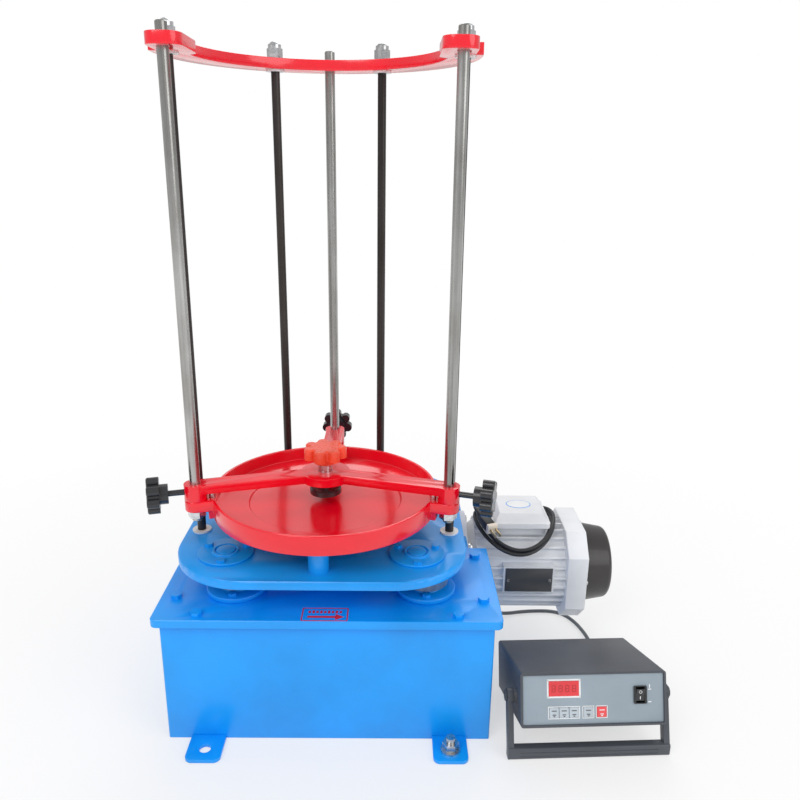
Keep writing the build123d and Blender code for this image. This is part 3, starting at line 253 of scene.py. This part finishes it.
# Which solid gets which finish, and which get rounded edges
PAINTED = {
    "blue": ("base_box", "mounting_lugs", "cover_plate", "cover_screws", "lower_bearings", "table_plate",
             "bearing_caps", "cap_screws", "guide_post"),
    "red": ("tray", "clamp_spider", "top_plate"),
    "silver": ("motor_body", "motor_rear_cover", "terminal_box", "terminal_box_lid"),
    "shield": ("motor_flange",),
    "rod": ("guide_rods",),
    "dark rod": ("columns",),
    "zinc": ("dome_nuts", "rod_nuts", "ear_screws", "hub_collar", "lug_stud"),
    "steel": ("centre_screw", "motor_shaft", "crank_left", "crank_right", "crank_rear", "tray_spindles"),
    "iron": ("worm_reducer", "upper_bearings", "jolt_cam", "jolt_lifter"),
    "washer": ("column_washers",),
    "black": ("side_knob_left", "side_knob_right", "side_knob_rear", "cord_glands", "rocker_bezel", "rocker",
              "timer_feet", "pressure_foot", "cooling_fan"),
    "cowl": ("fan_cowl",),
    "knob red": ("centre_knob",),
    "case": ("timer_case", "timer_rear"),
    "bail": ("bail",),
    "panel": ("timer_front",),
    "key": ("key_one", "key_two", "key_three", "key_start"),
    "red key": ("key_stop",),
    "window": ("display",),
    "rubber": ("mains_cord", "timer_cord"),
    "cream": ("mains_plug",),
    "plate": ("nameplate",),
}
SOFT_EDGES = {
    "sheet": ("cover_plate", "table_plate", "base_box", "mounting_lugs", "top_plate", "timer_front",
              "nameplate", "bearing_caps", "motor_flange", "terminal_box"),
    "cast": ("tray", "clamp_spider", "motor_rear_cover", "timer_case", "bail", "lower_bearings"),
}
FINISH = {}


def settings(context):
    return context.scene.shaker_finishes, context.scene.shaker_sizes, context.scene.shaker_stage


def finish_of(key):
    if not FINISH:
        FINISH.update(make_materials(bpy.context.scene.shaker_finishes))
    return FINISH[key]


def paint(piece, key):
    piece.data.materials.clear()
    piece.data.materials.append(finish_of(key))


def body_of(node):
    for body, nodes in frame["record"]["behaviour"]["bodies"].items():
        if node in nodes:
            return body
    raise ValueError("no body for " + node)


def choose(piece):
    if bpy.context.object and bpy.context.object.mode != "OBJECT":
        bpy.ops.object.mode_set(mode="OBJECT")
    bpy.ops.object.select_all(action="DESELECT")
    piece.select_set(True)
    bpy.context.view_layer.objects.active = piece


def soften(piece, width, segments=2, by_angle=None):
    """Round the piece's edges with a bevel; by_angle keeps it to edges sharper than that."""
    bevel = piece.modifiers.new("edge", "BEVEL")
    bevel.width = width
    bevel.segments = segments
    if by_angle is not None:
        bevel.limit_method = "ANGLE"
        bevel.angle_limit = radians(by_angle)
    bpy.ops.object.modifier_apply(modifier=bevel.name)


def settle(piece, angle=32):
    """Put the piece's place into its mesh and smooth its round faces."""
    choose(piece)
    bpy.ops.object.transform_apply(location=True, rotation=True, scale=True)
    bpy.ops.object.shade_smooth_by_angle(angle=radians(angle))


def belong(piece, body, key):
    paint(piece, key)
    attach(piece, body)


def join(pieces, name):
    choose(pieces[0])
    for piece in pieces:
        piece.select_set(True)
    if len(pieces) > 1:
        bpy.ops.object.join()
    made = bpy.context.object
    made.name = name
    made.data.name = name
    return made


def tile(centre, right, up, width, height, depth, round_by=0.0):
    """A thin printed tile: a cube shaped to size, its corners rounded by a bevel."""
    right = Vector(right).normalized()
    up = Vector(up).normalized()
    out = right.cross(up)
    turn = Matrix((right, up, out)).transposed().to_4x4()
    bpy.ops.object.select_all(action="DESELECT")
    bpy.ops.mesh.primitive_cube_add(size=1)
    made = bpy.context.object
    made.matrix_world = Matrix.Translation(Vector(centre)) @ turn @ Matrix.Diagonal((width, height, depth, 1))
    choose(made)
    bpy.ops.object.transform_apply(location=True, rotation=True, scale=True)
    if round_by > 0:
        soften(made, round_by)
    return made


def disc(centre, axis, radius, depth, sides=32, edge=0.0):
    """A round fitting, its outer edge bevelled."""
    bpy.ops.object.select_all(action="DESELECT")
    turn = Vector((0, 0, 1)).rotation_difference(Vector(axis)).to_euler()
    bpy.ops.mesh.primitive_cylinder_add(vertices=sides, radius=radius, depth=depth, location=centre,
                                        rotation=turn)
    made = bpy.context.object
    choose(made)
    bpy.ops.object.transform_apply(location=True, rotation=True, scale=True)
    if edge > 0:
        soften(made, edge, by_angle=30)
    return made


# The timer box's own directions, as it leans on its bail
LEAN = radians(19.4)
TURN = radians(2.6)
ACROSS = Vector((cos(TURN), sin(TURN), 0))
REARWARD = Vector((-sin(TURN) * cos(LEAN), cos(TURN) * cos(LEAN), -sin(LEAN)))
BOX_UP = ACROSS.cross(REARWARD)
BOX_CORNER = Vector((248.0, -235.0, 55.5)) * MM


# The motor's axis runs along X at this place; its screws stand on one bolt circle
MOTOR_Y = 0.080
MOTOR_Z = 0.120
BOLT_RING = 0.069

# The timer box's front, in millimetres of its own plane
PANEL_SUNK = 2.0
DISPLAY_X = 56.5
DISPLAY_Z = 48.5
KEY_Z = 18.0
KEYS = {"key_one": 43.5, "key_two": 56.5, "key_three": 69.5, "key_start": 88.0, "key_stop": 105.5}
ROCKER_X = 156.0
ROCKER_Z = 38.5
ROCKER_HALF = 7.8


def in_box(x, depth, z):
    return BOX_CORNER + (ACROSS * x + REARWARD * depth + BOX_UP * z) * MM


def nurbs(name, points, diameter):
    """A cord on one smooth curve through its route's points."""
    curve = bpy.data.curves.new(name, "CURVE")
    curve.dimensions = "3D"
    curve.bevel_depth = diameter / 2
    curve.bevel_resolution = 4
    curve.resolution_u = 8
    curve.use_fill_caps = True
    line = curve.splines.new("NURBS")
    line.points.add(len(points) - 1)
    for spot, place in zip(line.points, points):
        spot.co = (*place, 1)
    line.use_endpoint_u = True
    line.order_u = 3
    made = bpy.data.objects.new(name, curve)
    bpy.context.scene.collection.objects.link(made)
    return made


class SHAKER_OT_paint(bpy.types.Operator):
    """Give every solid its own finish"""
    bl_idname = "shaker.paint"
    bl_label = "Paint the solids"

    def execute(self, context):
        for key, nodes in PAINTED.items():
            for node in nodes:
                paint(frame["nodes"][node], key)
        return {"FINISHED"}


class SHAKER_OT_edges(bpy.types.Operator):
    """Round the edges of plates and castings, which catch the light"""
    bl_idname = "shaker.edges"
    bl_label = "Soften edges"

    def execute(self, context):
        _, sizes, _ = settings(context)
        widths = {"sheet": sizes.sheet_edge, "cast": sizes.cast_edge}
        for kind, nodes in SOFT_EDGES.items():
            for node in nodes:
                source = frame["nodes"][node]
                made = bpy.data.objects.new(node + "_soft", source.data.copy())
                context.scene.collection.objects.link(made)
                choose(made)
                bpy.ops.object.mode_set(mode="EDIT")
                bpy.ops.mesh.select_all(action="SELECT")
                bpy.ops.mesh.remove_doubles(threshold=0.00001)
                bpy.ops.mesh.dissolve_limited(angle_limit=radians(1.5))
                bpy.ops.object.mode_set(mode="OBJECT")
                soften(made, widths[kind], 3, by_angle=50)
                bpy.ops.object.shade_smooth_by_angle(angle=radians(35))
                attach(made, body_of(node))
                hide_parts(node)
        return {"FINISHED"}


class SHAKER_OT_cover_mark(bpy.types.Operator):
    """Print the framed arrow that shows which way the cranks turn"""
    bl_idname = "shaker.cover_mark"
    bl_label = "Arrow mark"

    def execute(self, context):
        _, sizes, _ = settings(context)
        if not sizes.marks:
            return {"FINISHED"}
        thick = sizes.mark
        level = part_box("cover_plate")[1][2] + thick / 2
        middle = Vector((-0.0035, -0.1835, level))
        wide, deep, line = 0.058, 0.028, 0.0016
        right, up = (1, 0, 0), (0, 1, 0)
        bars = [tile(middle + Vector((0, side * deep / 2, 0)), right, up, wide, line, thick)
                for side in (-1, 1)]
        bars += [tile(middle + Vector((side * wide / 2, 0, 0)), right, up, line, deep, thick)
                 for side in (-1, 1)]
        shaft = middle + Vector((-0.004, -0.0055, 0))
        bars.append(tile(shaft, right, up, 0.036, 0.0042, thick))
        bpy.ops.object.select_all(action="DESELECT")
        bpy.ops.mesh.primitive_cylinder_add(vertices=3, radius=0.0075, depth=thick,
                                            location=middle + Vector((0.0175, -0.0055, 0)),
                                            rotation=(0, 0, -pi / 2))
        bars.append(bpy.context.object)
        for row in range(9):
            spot = middle + Vector((-0.020 + row * 0.005, 0.0055, 0))
            bars.append(tile(spot, right, up, 0.0030, 0.0060 if row % 2 else 0.0048, thick))
        mark = join(bars, "cover_arrow_mark")
        settle(mark)
        belong(mark, "root", "print red")
        return {"FINISHED"}


class SHAKER_OT_motor_fittings(bpy.types.Operator):
    """Add the motor's screws, its oval label and the name plate's rivets"""
    bl_idname = "shaker.motor_fittings"
    bl_label = "Motor fittings"

    def oval(self, name, centre, half_x, half_y, thick, slot, key):
        """A thin oval: a round disc one metre in radius, squeezed to its half sizes."""
        made = disc(centre, (0, 0, 1), 1.0, thick, 48)
        for vertex in made.data.vertices:
            vertex.co.x = centre[0] + (vertex.co.x - centre[0]) * half_x
            vertex.co.y = centre[1] + (vertex.co.y - centre[1]) * half_y
        made.name = name
        settle(made)
        belong(made, "root", key)

    def ring_of_screws(self, x, turns, radius, depth, sides, edge):
        """Screw heads on the bolt circle round the motor's axis."""
        made = []
        for turn in turns:
            spot = (x, MOTOR_Y + BOLT_RING * cos(radians(turn)), MOTOR_Z + BOLT_RING * sin(radians(turn)))
            made.append(disc(spot, (1, 0, 0), radius, depth, sides, edge))
        return made

    def execute(self, context):
        low, high = (Vector(corner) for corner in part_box("terminal_box_lid"))
        centre = (low + high) / 2
        self.oval("lid_label", (centre.x, centre.y, high.z + 0.0002), 0.0185, 0.0135, 0.0004, "pale_plastic",
                  "white")
        self.oval("lid_label_ring", (centre.x, centre.y, high.z + 0.0001), 0.0197, 0.0147, 0.0002,
                  "blue_paint", "blue")
        inset = 0.007
        screws = [disc((x, y, low.z + 0.0093), (0, 0, 1), 0.0030, 0.0030, 20, 0.0006)
                  for x in (low.x + inset, high.x - inset) for y in (low.y + inset, high.y - inset)]
        flange_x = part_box("motor_flange")[0][0] + 0.0155
        screws += self.ring_of_screws(flange_x, (45, 135, 225, 315), 0.0075, 0.0070, 6, 0.0008)
        cover_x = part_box("motor_rear_cover")[1][0] + 0.0010
        screws += self.ring_of_screws(cover_x, (0, 90, 180, 270), 0.0030, 0.0026, 20, 0.0006)
        fittings = join(screws, "motor_screws")
        settle(fittings)
        belong(fittings, "root", "zinc")
        plate_low, plate_high = (Vector(corner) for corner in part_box("nameplate"))
        middle_z = (plate_low.z + plate_high.z) / 2
        rivets = [disc((x, plate_low.y + 0.0002, middle_z), (0, -1, 0), 0.0024, 0.0018, 20, 0.0005)
                  for x in (plate_low.x + 0.0045, plate_high.x - 0.0045)]
        rivets = join(rivets, "nameplate_rivets")
        settle(rivets)
        belong(rivets, "root", "zinc")
        return {"FINISHED"}


class SHAKER_OT_timer_marks(bpy.types.Operator):
    """Frame the display and keys, mark the switch's two sides and add the digits"""
    bl_idname = "shaker.timer_marks"
    bl_label = "Timer marks"

    def frame_lines(self, x, z, wide, high, depth, line, thick):
        bars = [tile(in_box(x, depth, z + side * high / 2), ACROSS, BOX_UP, wide * MM + line, line, thick)
                for side in (-1, 1)]
        bars += [tile(in_box(x + side * wide / 2, depth, z), ACROSS, BOX_UP, line, high * MM, thick)
                 for side in (-1, 1)]
        return bars

    def execute(self, context):
        _, sizes, _ = settings(context)
        self.panel_print(0.0003)
        for name, x in KEYS.items():
            self.key_sign(name, x)
        self.digits(4)
        return {"FINISHED"}

    def panel_print(self, thick):
        """White frames round the display and the keys, and the two marks beside the switch."""
        depth = PANEL_SUNK - 0.1
        white = self.frame_lines(DISPLAY_X, DISPLAY_Z, 41.6, 21.6, depth, 0.0022, thick)
        white += self.frame_lines(KEYS["key_two"], KEY_Z, 40.4, 14.8, depth, 0.0010, thick)
        white += self.frame_lines(KEYS["key_start"], KEY_Z, 14.2, 14.8, depth, 0.0010, thick)
        white += self.frame_lines(KEYS["key_stop"], KEY_Z, 14.2, 14.8, depth, 0.0010, thick)
        mark_x = ROCKER_X + 12.5
        for mark_z in (45.1, 29.1):
            white.append(tile(in_box(mark_x, depth, mark_z), ACROSS, BOX_UP, 0.0042, 0.0012, thick))
        white.append(tile(in_box(mark_x, depth, 49.0), ACROSS, BOX_UP, 0.0012, 0.0046, thick))
        marks = join(white, "timer_print")
        settle(marks)
        belong(marks, "root", "white")

    def key_sign(self, name, x):
        """Three short bars on a key, in place of its print."""
        face = PANEL_SUNK - 1.25
        bars = [tile(in_box(x, face, KEY_Z + rise), ACROSS, BOX_UP, wide, 0.0011, 0.0002)
                for rise, wide in ((2.6, 0.0066), (-2.4, 0.0046), (-4.4, 0.0022))]
        sign = join(bars, name + "_sign")
        settle(sign)
        belong(sign, name, "white" if name == "key_stop" else "plate")

    def digits(self, count):
        """Unlit seven stroke digits: each stroke's place and size in millimetres."""
        strokes = [(0, rise, 3.6, 0.8) for rise in (3.9, 0, -3.9)]
        strokes += [(aside, rise, 0.8, 3.2) for rise in (2, -2) for aside in (-2.2, 2.2)]
        pitch = 8.8
        made = []
        for place in range(count):
            middle_x = DISPLAY_X + (place - (count - 1) / 2) * pitch
            for off_x, off_z, wide, high in strokes:
                spot = in_box(middle_x + off_x, 1.14, DISPLAY_Z + off_z)
                made.append(tile(spot, ACROSS, BOX_UP, wide * MM, high * MM, 0.0002))
        made = join(made, "display_digits")
        settle(made)
        belong(made, "root", "digit")


class SHAKER_OT_rocker_marks(bpy.types.Operator):
    """Mark the rocker with I and O"""
    bl_idname = "shaker.rocker_marks"
    bl_label = "Switch marks"

    def execute(self, context):
        upper = (in_box(ROCKER_X, PANEL_SUNK - 1.2, ROCKER_Z),
                 in_box(ROCKER_X, PANEL_SUNK - 3.4, ROCKER_Z + ROCKER_HALF))
        lower = (in_box(ROCKER_X, PANEL_SUNK - 0.6, ROCKER_Z - ROCKER_HALF),
                 in_box(ROCKER_X, PANEL_SUNK - 1.2, ROCKER_Z))
        up_low = (lower[1] - lower[0]).normalized()
        up_top = (upper[1] - upper[0]).normalized()
        out_top = ACROSS.cross(up_top)
        out_low = ACROSS.cross(up_low)
        line = tile((lower[0] + lower[1]) / 2 + out_low * 0.0001, ACROSS, up_low, 0.0009, 0.0040, 0.0003)
        bpy.ops.object.select_all(action="DESELECT")
        turn = Matrix((ACROSS, up_top, out_top)).transposed().to_euler()
        bpy.ops.mesh.primitive_torus_add(location=(upper[0] + upper[1]) / 2 + out_top * 0.0001, rotation=turn,
                                         major_radius=0.0018, minor_radius=0.00035, major_segments=28,
                                         minor_segments=6)
        marks = join([line, bpy.context.object], "rocker_marks")
        settle(marks)
        belong(marks, "rocker", "white")
        return {"FINISHED"}


class SHAKER_OT_cords(bpy.types.Operator):
    """Lay the timer cord on the floor and wind the mains cord over the motor"""
    bl_idname = "shaker.cords"
    bl_label = "Cords and plug"

    def execute(self, context):
        _, sizes, _ = settings(context)
        route = [(198, 96, 20), (228, 96, 20), (268, 100, 4), (318, 113, 3.1), (368, 113, 3.1),
                 (391, 88, 3.1), (404, 42, 3.1), (403, -4, 6)]
        points = [Vector(spot) * MM for spot in route] + [in_box(138, 190, 36), in_box(138, 162, 36)]
        timer = nurbs("timer_lead", points, sizes.cord)
        timer_relief = self.relief("timer_relief", points[-1], REARWARD, 0.020)
        base_relief = self.relief("base_relief", points[0], Vector((1, 0, 0)), 0.022)
        # The timer cord is black; its lighter grey is painted light for the strong light on the floor.
        paint(timer, "black cord with painted light")
        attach(timer, "root")
        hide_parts("timer_cord")
        self.span(timer)
        self.mains(sizes)
        return {"FINISHED"}

    def span(self, cord):
        """The cord's length along its own curve."""
        line = cord.data.copy()
        line.bevel_depth = 0
        shape = bpy.data.objects.new("measure", line)
        mesh = bpy.data.meshes.new_from_object(shape)
        ends = [[mesh.vertices[index].co for index in edge.vertices] for edge in mesh.edges]
        total = sum((one - two).length for one, two in ends)
        bpy.data.objects.remove(shape)
        bpy.data.meshes.remove(mesh)
        bpy.data.curves.remove(line)
        return round(total, 4)

    def relief(self, name, start, direction, long):
        """A tapered sleeve where the cord leaves a gland or the plug."""
        direction = Vector(direction).normalized()
        turn = Vector((0, 0, 1)).rotation_difference(direction).to_euler()
        bpy.ops.object.select_all(action="DESELECT")
        bpy.ops.mesh.primitive_cone_add(vertices=28, radius1=0.0048, radius2=0.0036, depth=long,
                                        location=Vector(start) + direction * (long / 2), rotation=turn)
        made = bpy.context.object
        made.name = name
        choose(made)
        soften(made, 0.0006, by_angle=30)
        settle(made)
        belong(made, "root", "rubber")
        return made

    def coil(self, turns):
        """Loose turns round the terminal box, each with its own width and height in millimetres."""
        wider_higher = ((-4.0, -2.5), (3.0, -3.0), (-0.5, 3.5), (6.0, 2.5), (1.5, 7.5), (1.5, 7.5))
        centre_x, centre_y, top = 278.5, 77, 203
        half_x, half_y, droop = 61, 75, 28
        first, last = 200, 515 + 360 * (turns - 2)
        steps_per_turn = 16
        count = int((last - first) / 360 * steps_per_turn)
        points = []
        for index in range(count + 1):
            angle = radians(first + (last - first) * index / count)
            place = (last - first) / 360 * index / count
            lower = int(place)
            share = place - lower
            share = share * share * (3 - 2 * share)
            before, after = wider_higher[lower], wider_higher[lower + 1]
            out = before[0] * (1 - share) + after[0] * share
            lift = before[1] * (1 - share) + after[1] * share
            loose = 1 + 0.35 * max(0.0, -sin(angle + 0.6))
            x = centre_x + (half_x + out * loose) * cos(angle)
            y = centre_y + (half_y + out * loose) * sin(angle)
            z = top - droop * sin(angle) ** 2 + lift
            points.append(Vector((x, y, z)) * MM)
        return points

    def mains(self, sizes):
        """The mains cord, from the terminal box's gland through the coil to its plug."""
        gland_end = Vector((235, 80, 193.5)) * MM
        points = [gland_end, gland_end + Vector((-6, 0, 0)) * MM, gland_end + Vector((-12, -3, 2.5)) * MM]
        points += self.coil(sizes.coil_turns)
        plug_dir = Vector((0.376, -0.906, -0.19)).normalized()
        plug_start = Vector((223, 45, 215)) * MM
        back = plug_start - plug_dir * 0.016
        points += [Vector((217.5, 92, 212)) * MM, back - plug_dir * 0.010, back]
        cord = nurbs("mains_lead", points, sizes.cord)
        plug = self.plug(plug_start, plug_dir)
        sleeve = self.relief("mains_relief", gland_end, Vector((-1, 0, 0)), 0.007)
        paint(cord, "rubber")
        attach(cord, "root")
        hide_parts("mains_cord")
        self.span(cord)

    def plug(self, start, direction):
        """A two-part plug with two flat pins and a tapered neck."""
        side = Vector((0.926, 0.376, 0)).normalized()
        up = direction.cross(side) * -1
        if up.z < 0:
            up = -up
        body = tile(start + direction * 0.014, side, direction, 0.0165, 0.028, 0.0145, 0.004)
        neck = [self.relief("plug_neck", start, -direction, 0.016)]
        body.name = "plug_body"
        settle(body)
        belong(body, "root", "rubber")
        face = tile(start + direction * 0.0305, side, direction, 0.0170, 0.0070, 0.0150, 0.0015)
        face.name = "plug_face"
        settle(face)
        belong(face, "root", "cream")
        pins = [tile(start + direction * 0.0425 + side * offset, side, direction, 0.0016, 0.0170, 0.0050,
                     0.0005) for offset in (-0.0045, 0.0045)]
        pins = join(pins, "plug_blades")
        settle(pins)
        belong(pins, "root", "brass")
        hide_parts("mains_plug")
        return [body, face, pins] + neck


class SHAKER_OT_stage(bpy.types.Operator):
    """Set the pale floor, soft lamps and the camera"""
    bl_idname = "shaker.stage"
    bl_label = "Stage and camera"

    def execute(self, context):
        _, _, light = settings(context)
        bpy.ops.object.select_all(action="DESELECT")
        bpy.ops.mesh.primitive_circle_add(vertices=96, radius=12, fill_type="NGON",
                                          location=(0, 0, -0.0004))
        floor = bpy.context.object
        floor.name = "floor"
        floor.data.materials.append(self.floor_paint())
        self.world(light.sky)
        self.lamp("key_lamp", (-1.6, -2.4, 2.9), (0.05, 0, 0.35), 2.2, light.lamp * 1.7)
        self.lamp("fill_lamp", (2.4, -1.9, 1.8), (0.1, 0, 0.35), 2.4, light.lamp)
        self.lamp("back_lamp", (0.3, 2.2, 2.8), (0, 0, 0.5), 2.2, light.lamp)
        self.camera(context)
        return {"FINISHED"}

    def floor_paint(self):
        """Pale floor that turns pure white away from the machine."""
        made, tree, shader, place = node_tree("pale floor")
        shader.inputs["Base Color"].default_value = (0.92, 0.92, 0.92, 1)
        shader.inputs["Roughness"].default_value = 0.7
        far = tree.nodes.new("ShaderNodeVectorMath")
        far.operation = "LENGTH"
        tree.links.new(place.outputs["Object"], far.inputs[0])
        fade = tree.nodes.new("ShaderNodeMapRange")
        fade.inputs["From Min"].default_value = 0.30
        fade.inputs["From Max"].default_value = 1.10
        fade.inputs["To Min"].default_value = 0.55
        fade.inputs["To Max"].default_value = 1.0
        tree.links.new(far.outputs["Value"], fade.inputs["Value"])
        both = tree.nodes.new("ShaderNodeMath")
        both.operation = "MULTIPLY"
        tree.links.new(seen_by(tree, "Camera", "Glossy"), both.inputs[0])
        tree.links.new(fade.outputs["Result"], both.inputs[1])
        glow = tree.nodes.new("ShaderNodeEmission")
        mixed = tree.nodes.new("ShaderNodeMixShader")
        tree.links.new(both.outputs["Value"], mixed.inputs["Fac"])
        tree.links.new(shader.outputs["BSDF"], mixed.inputs[1])
        tree.links.new(glow.outputs["Emission"], mixed.inputs[2])
        tree.links.new(mixed.outputs["Shader"], tree.nodes["Material Output"].inputs["Surface"])
        return made

    def world(self, strength):
        """Even light, with plain white behind the machine."""
        sky = bpy.data.worlds.new("even light")
        bpy.context.scene.world = sky
        sky.use_nodes = True
        tree = sky.node_tree
        even = tree.nodes["Background"]
        even.inputs["Color"].default_value = (1, 1, 1, 1)
        even.inputs["Strength"].default_value = strength
        white = tree.nodes.new("ShaderNodeBackground")
        white.inputs["Color"].default_value = (1, 1, 1, 1)
        white.inputs["Strength"].default_value = 1.0
        mixed = tree.nodes.new("ShaderNodeMixShader")
        tree.links.new(seen_by(tree, "Camera", "Transmission"), mixed.inputs["Fac"])
        tree.links.new(even.outputs["Background"], mixed.inputs[1])
        tree.links.new(white.outputs["Background"], mixed.inputs[2])
        tree.links.new(mixed.outputs["Shader"], tree.nodes["World Output"].inputs["Surface"])

    def lamp(self, name, place, target, size, power):
        data = bpy.data.lights.new(name, "AREA")
        data.shape = "DISK"
        data.size = size
        data.energy = power
        made = bpy.data.objects.new(name, data)
        made.location = place
        made.rotation_euler = (Vector(target) - Vector(place)).to_track_quat("-Z", "Y").to_euler()
        bpy.context.scene.collection.objects.link(made)

    def camera(self, context):
        """The photograph's own view: place, turn and lens solved from measured points."""
        yaw, pitch, roll = 0.01047, 0.30113, -0.01275
        place = Vector((80.50, -1025.71, 737.68)) * MM
        focal_pixels, image_pixels, sensor_width = 753.41, 800, 36
        forward = Vector((sin(yaw) * cos(pitch), cos(yaw) * cos(pitch), -sin(pitch)))
        right = Vector((cos(yaw), -sin(yaw), 0))
        down = forward.cross(right)
        image_right = cos(roll) * right + sin(roll) * down
        image_down = -sin(roll) * right + cos(roll) * down
        turn = Matrix((image_right, -image_down, -forward)).transposed().to_4x4()
        data = bpy.data.cameras.new("photo_camera")
        data.sensor_width = sensor_width
        data.lens = focal_pixels / image_pixels * sensor_width
        data.clip_end = 50
        made = bpy.data.objects.new("photo_camera", data)
        made.matrix_world = Matrix.Translation(place) @ turn
        context.scene.collection.objects.link(made)
        context.scene.camera = made
        context.scene.view_settings.view_transform = "Standard"


class SHAKER_PT_panel(bpy.types.Panel):
    """Sizes, colours and steps of the sieve shaker"""
    bl_label = "Sieve Shaker"
    bl_idname = "SHAKER_PT_panel"
    bl_space_type = "VIEW_3D"
    bl_region_type = "UI"
    bl_category = "Sieve Shaker"

    def draw(self, context):
        for group in settings(context):
            box = self.layout.box()
            for key in group.__annotations__:
                box.prop(group, key)
        for step in STEPS:
            self.layout.operator(step.bl_idname)


STEPS = (SHAKER_OT_stage, SHAKER_OT_paint, SHAKER_OT_cords, SHAKER_OT_edges, SHAKER_OT_cover_mark,
         SHAKER_OT_motor_fittings, SHAKER_OT_timer_marks, SHAKER_OT_rocker_marks)
GROUPS = {"shaker_finishes": ShakerFinishes, "shaker_sizes": ShakerSizes, "shaker_stage": ShakerStage}


def register():
    for key, group in GROUPS.items():
        bpy.utils.register_class(group)
        setattr(bpy.types.Scene, key, PointerProperty(type=group))
    for step in STEPS:
        bpy.utils.register_class(step)
    bpy.utils.register_class(SHAKER_PT_panel)


def unregister():
    bpy.utils.unregister_class(SHAKER_PT_panel)
    for step in reversed(STEPS):
        bpy.utils.unregister_class(step)
    for key, group in GROUPS.items():
        delattr(bpy.types.Scene, key)
        bpy.utils.unregister_class(group)


def main():
    register()
    for step in STEPS:
        group, name = step.bl_idname.split(".")
        getattr(getattr(bpy.ops, group), name)()


if __name__ == "__main__":
    main()
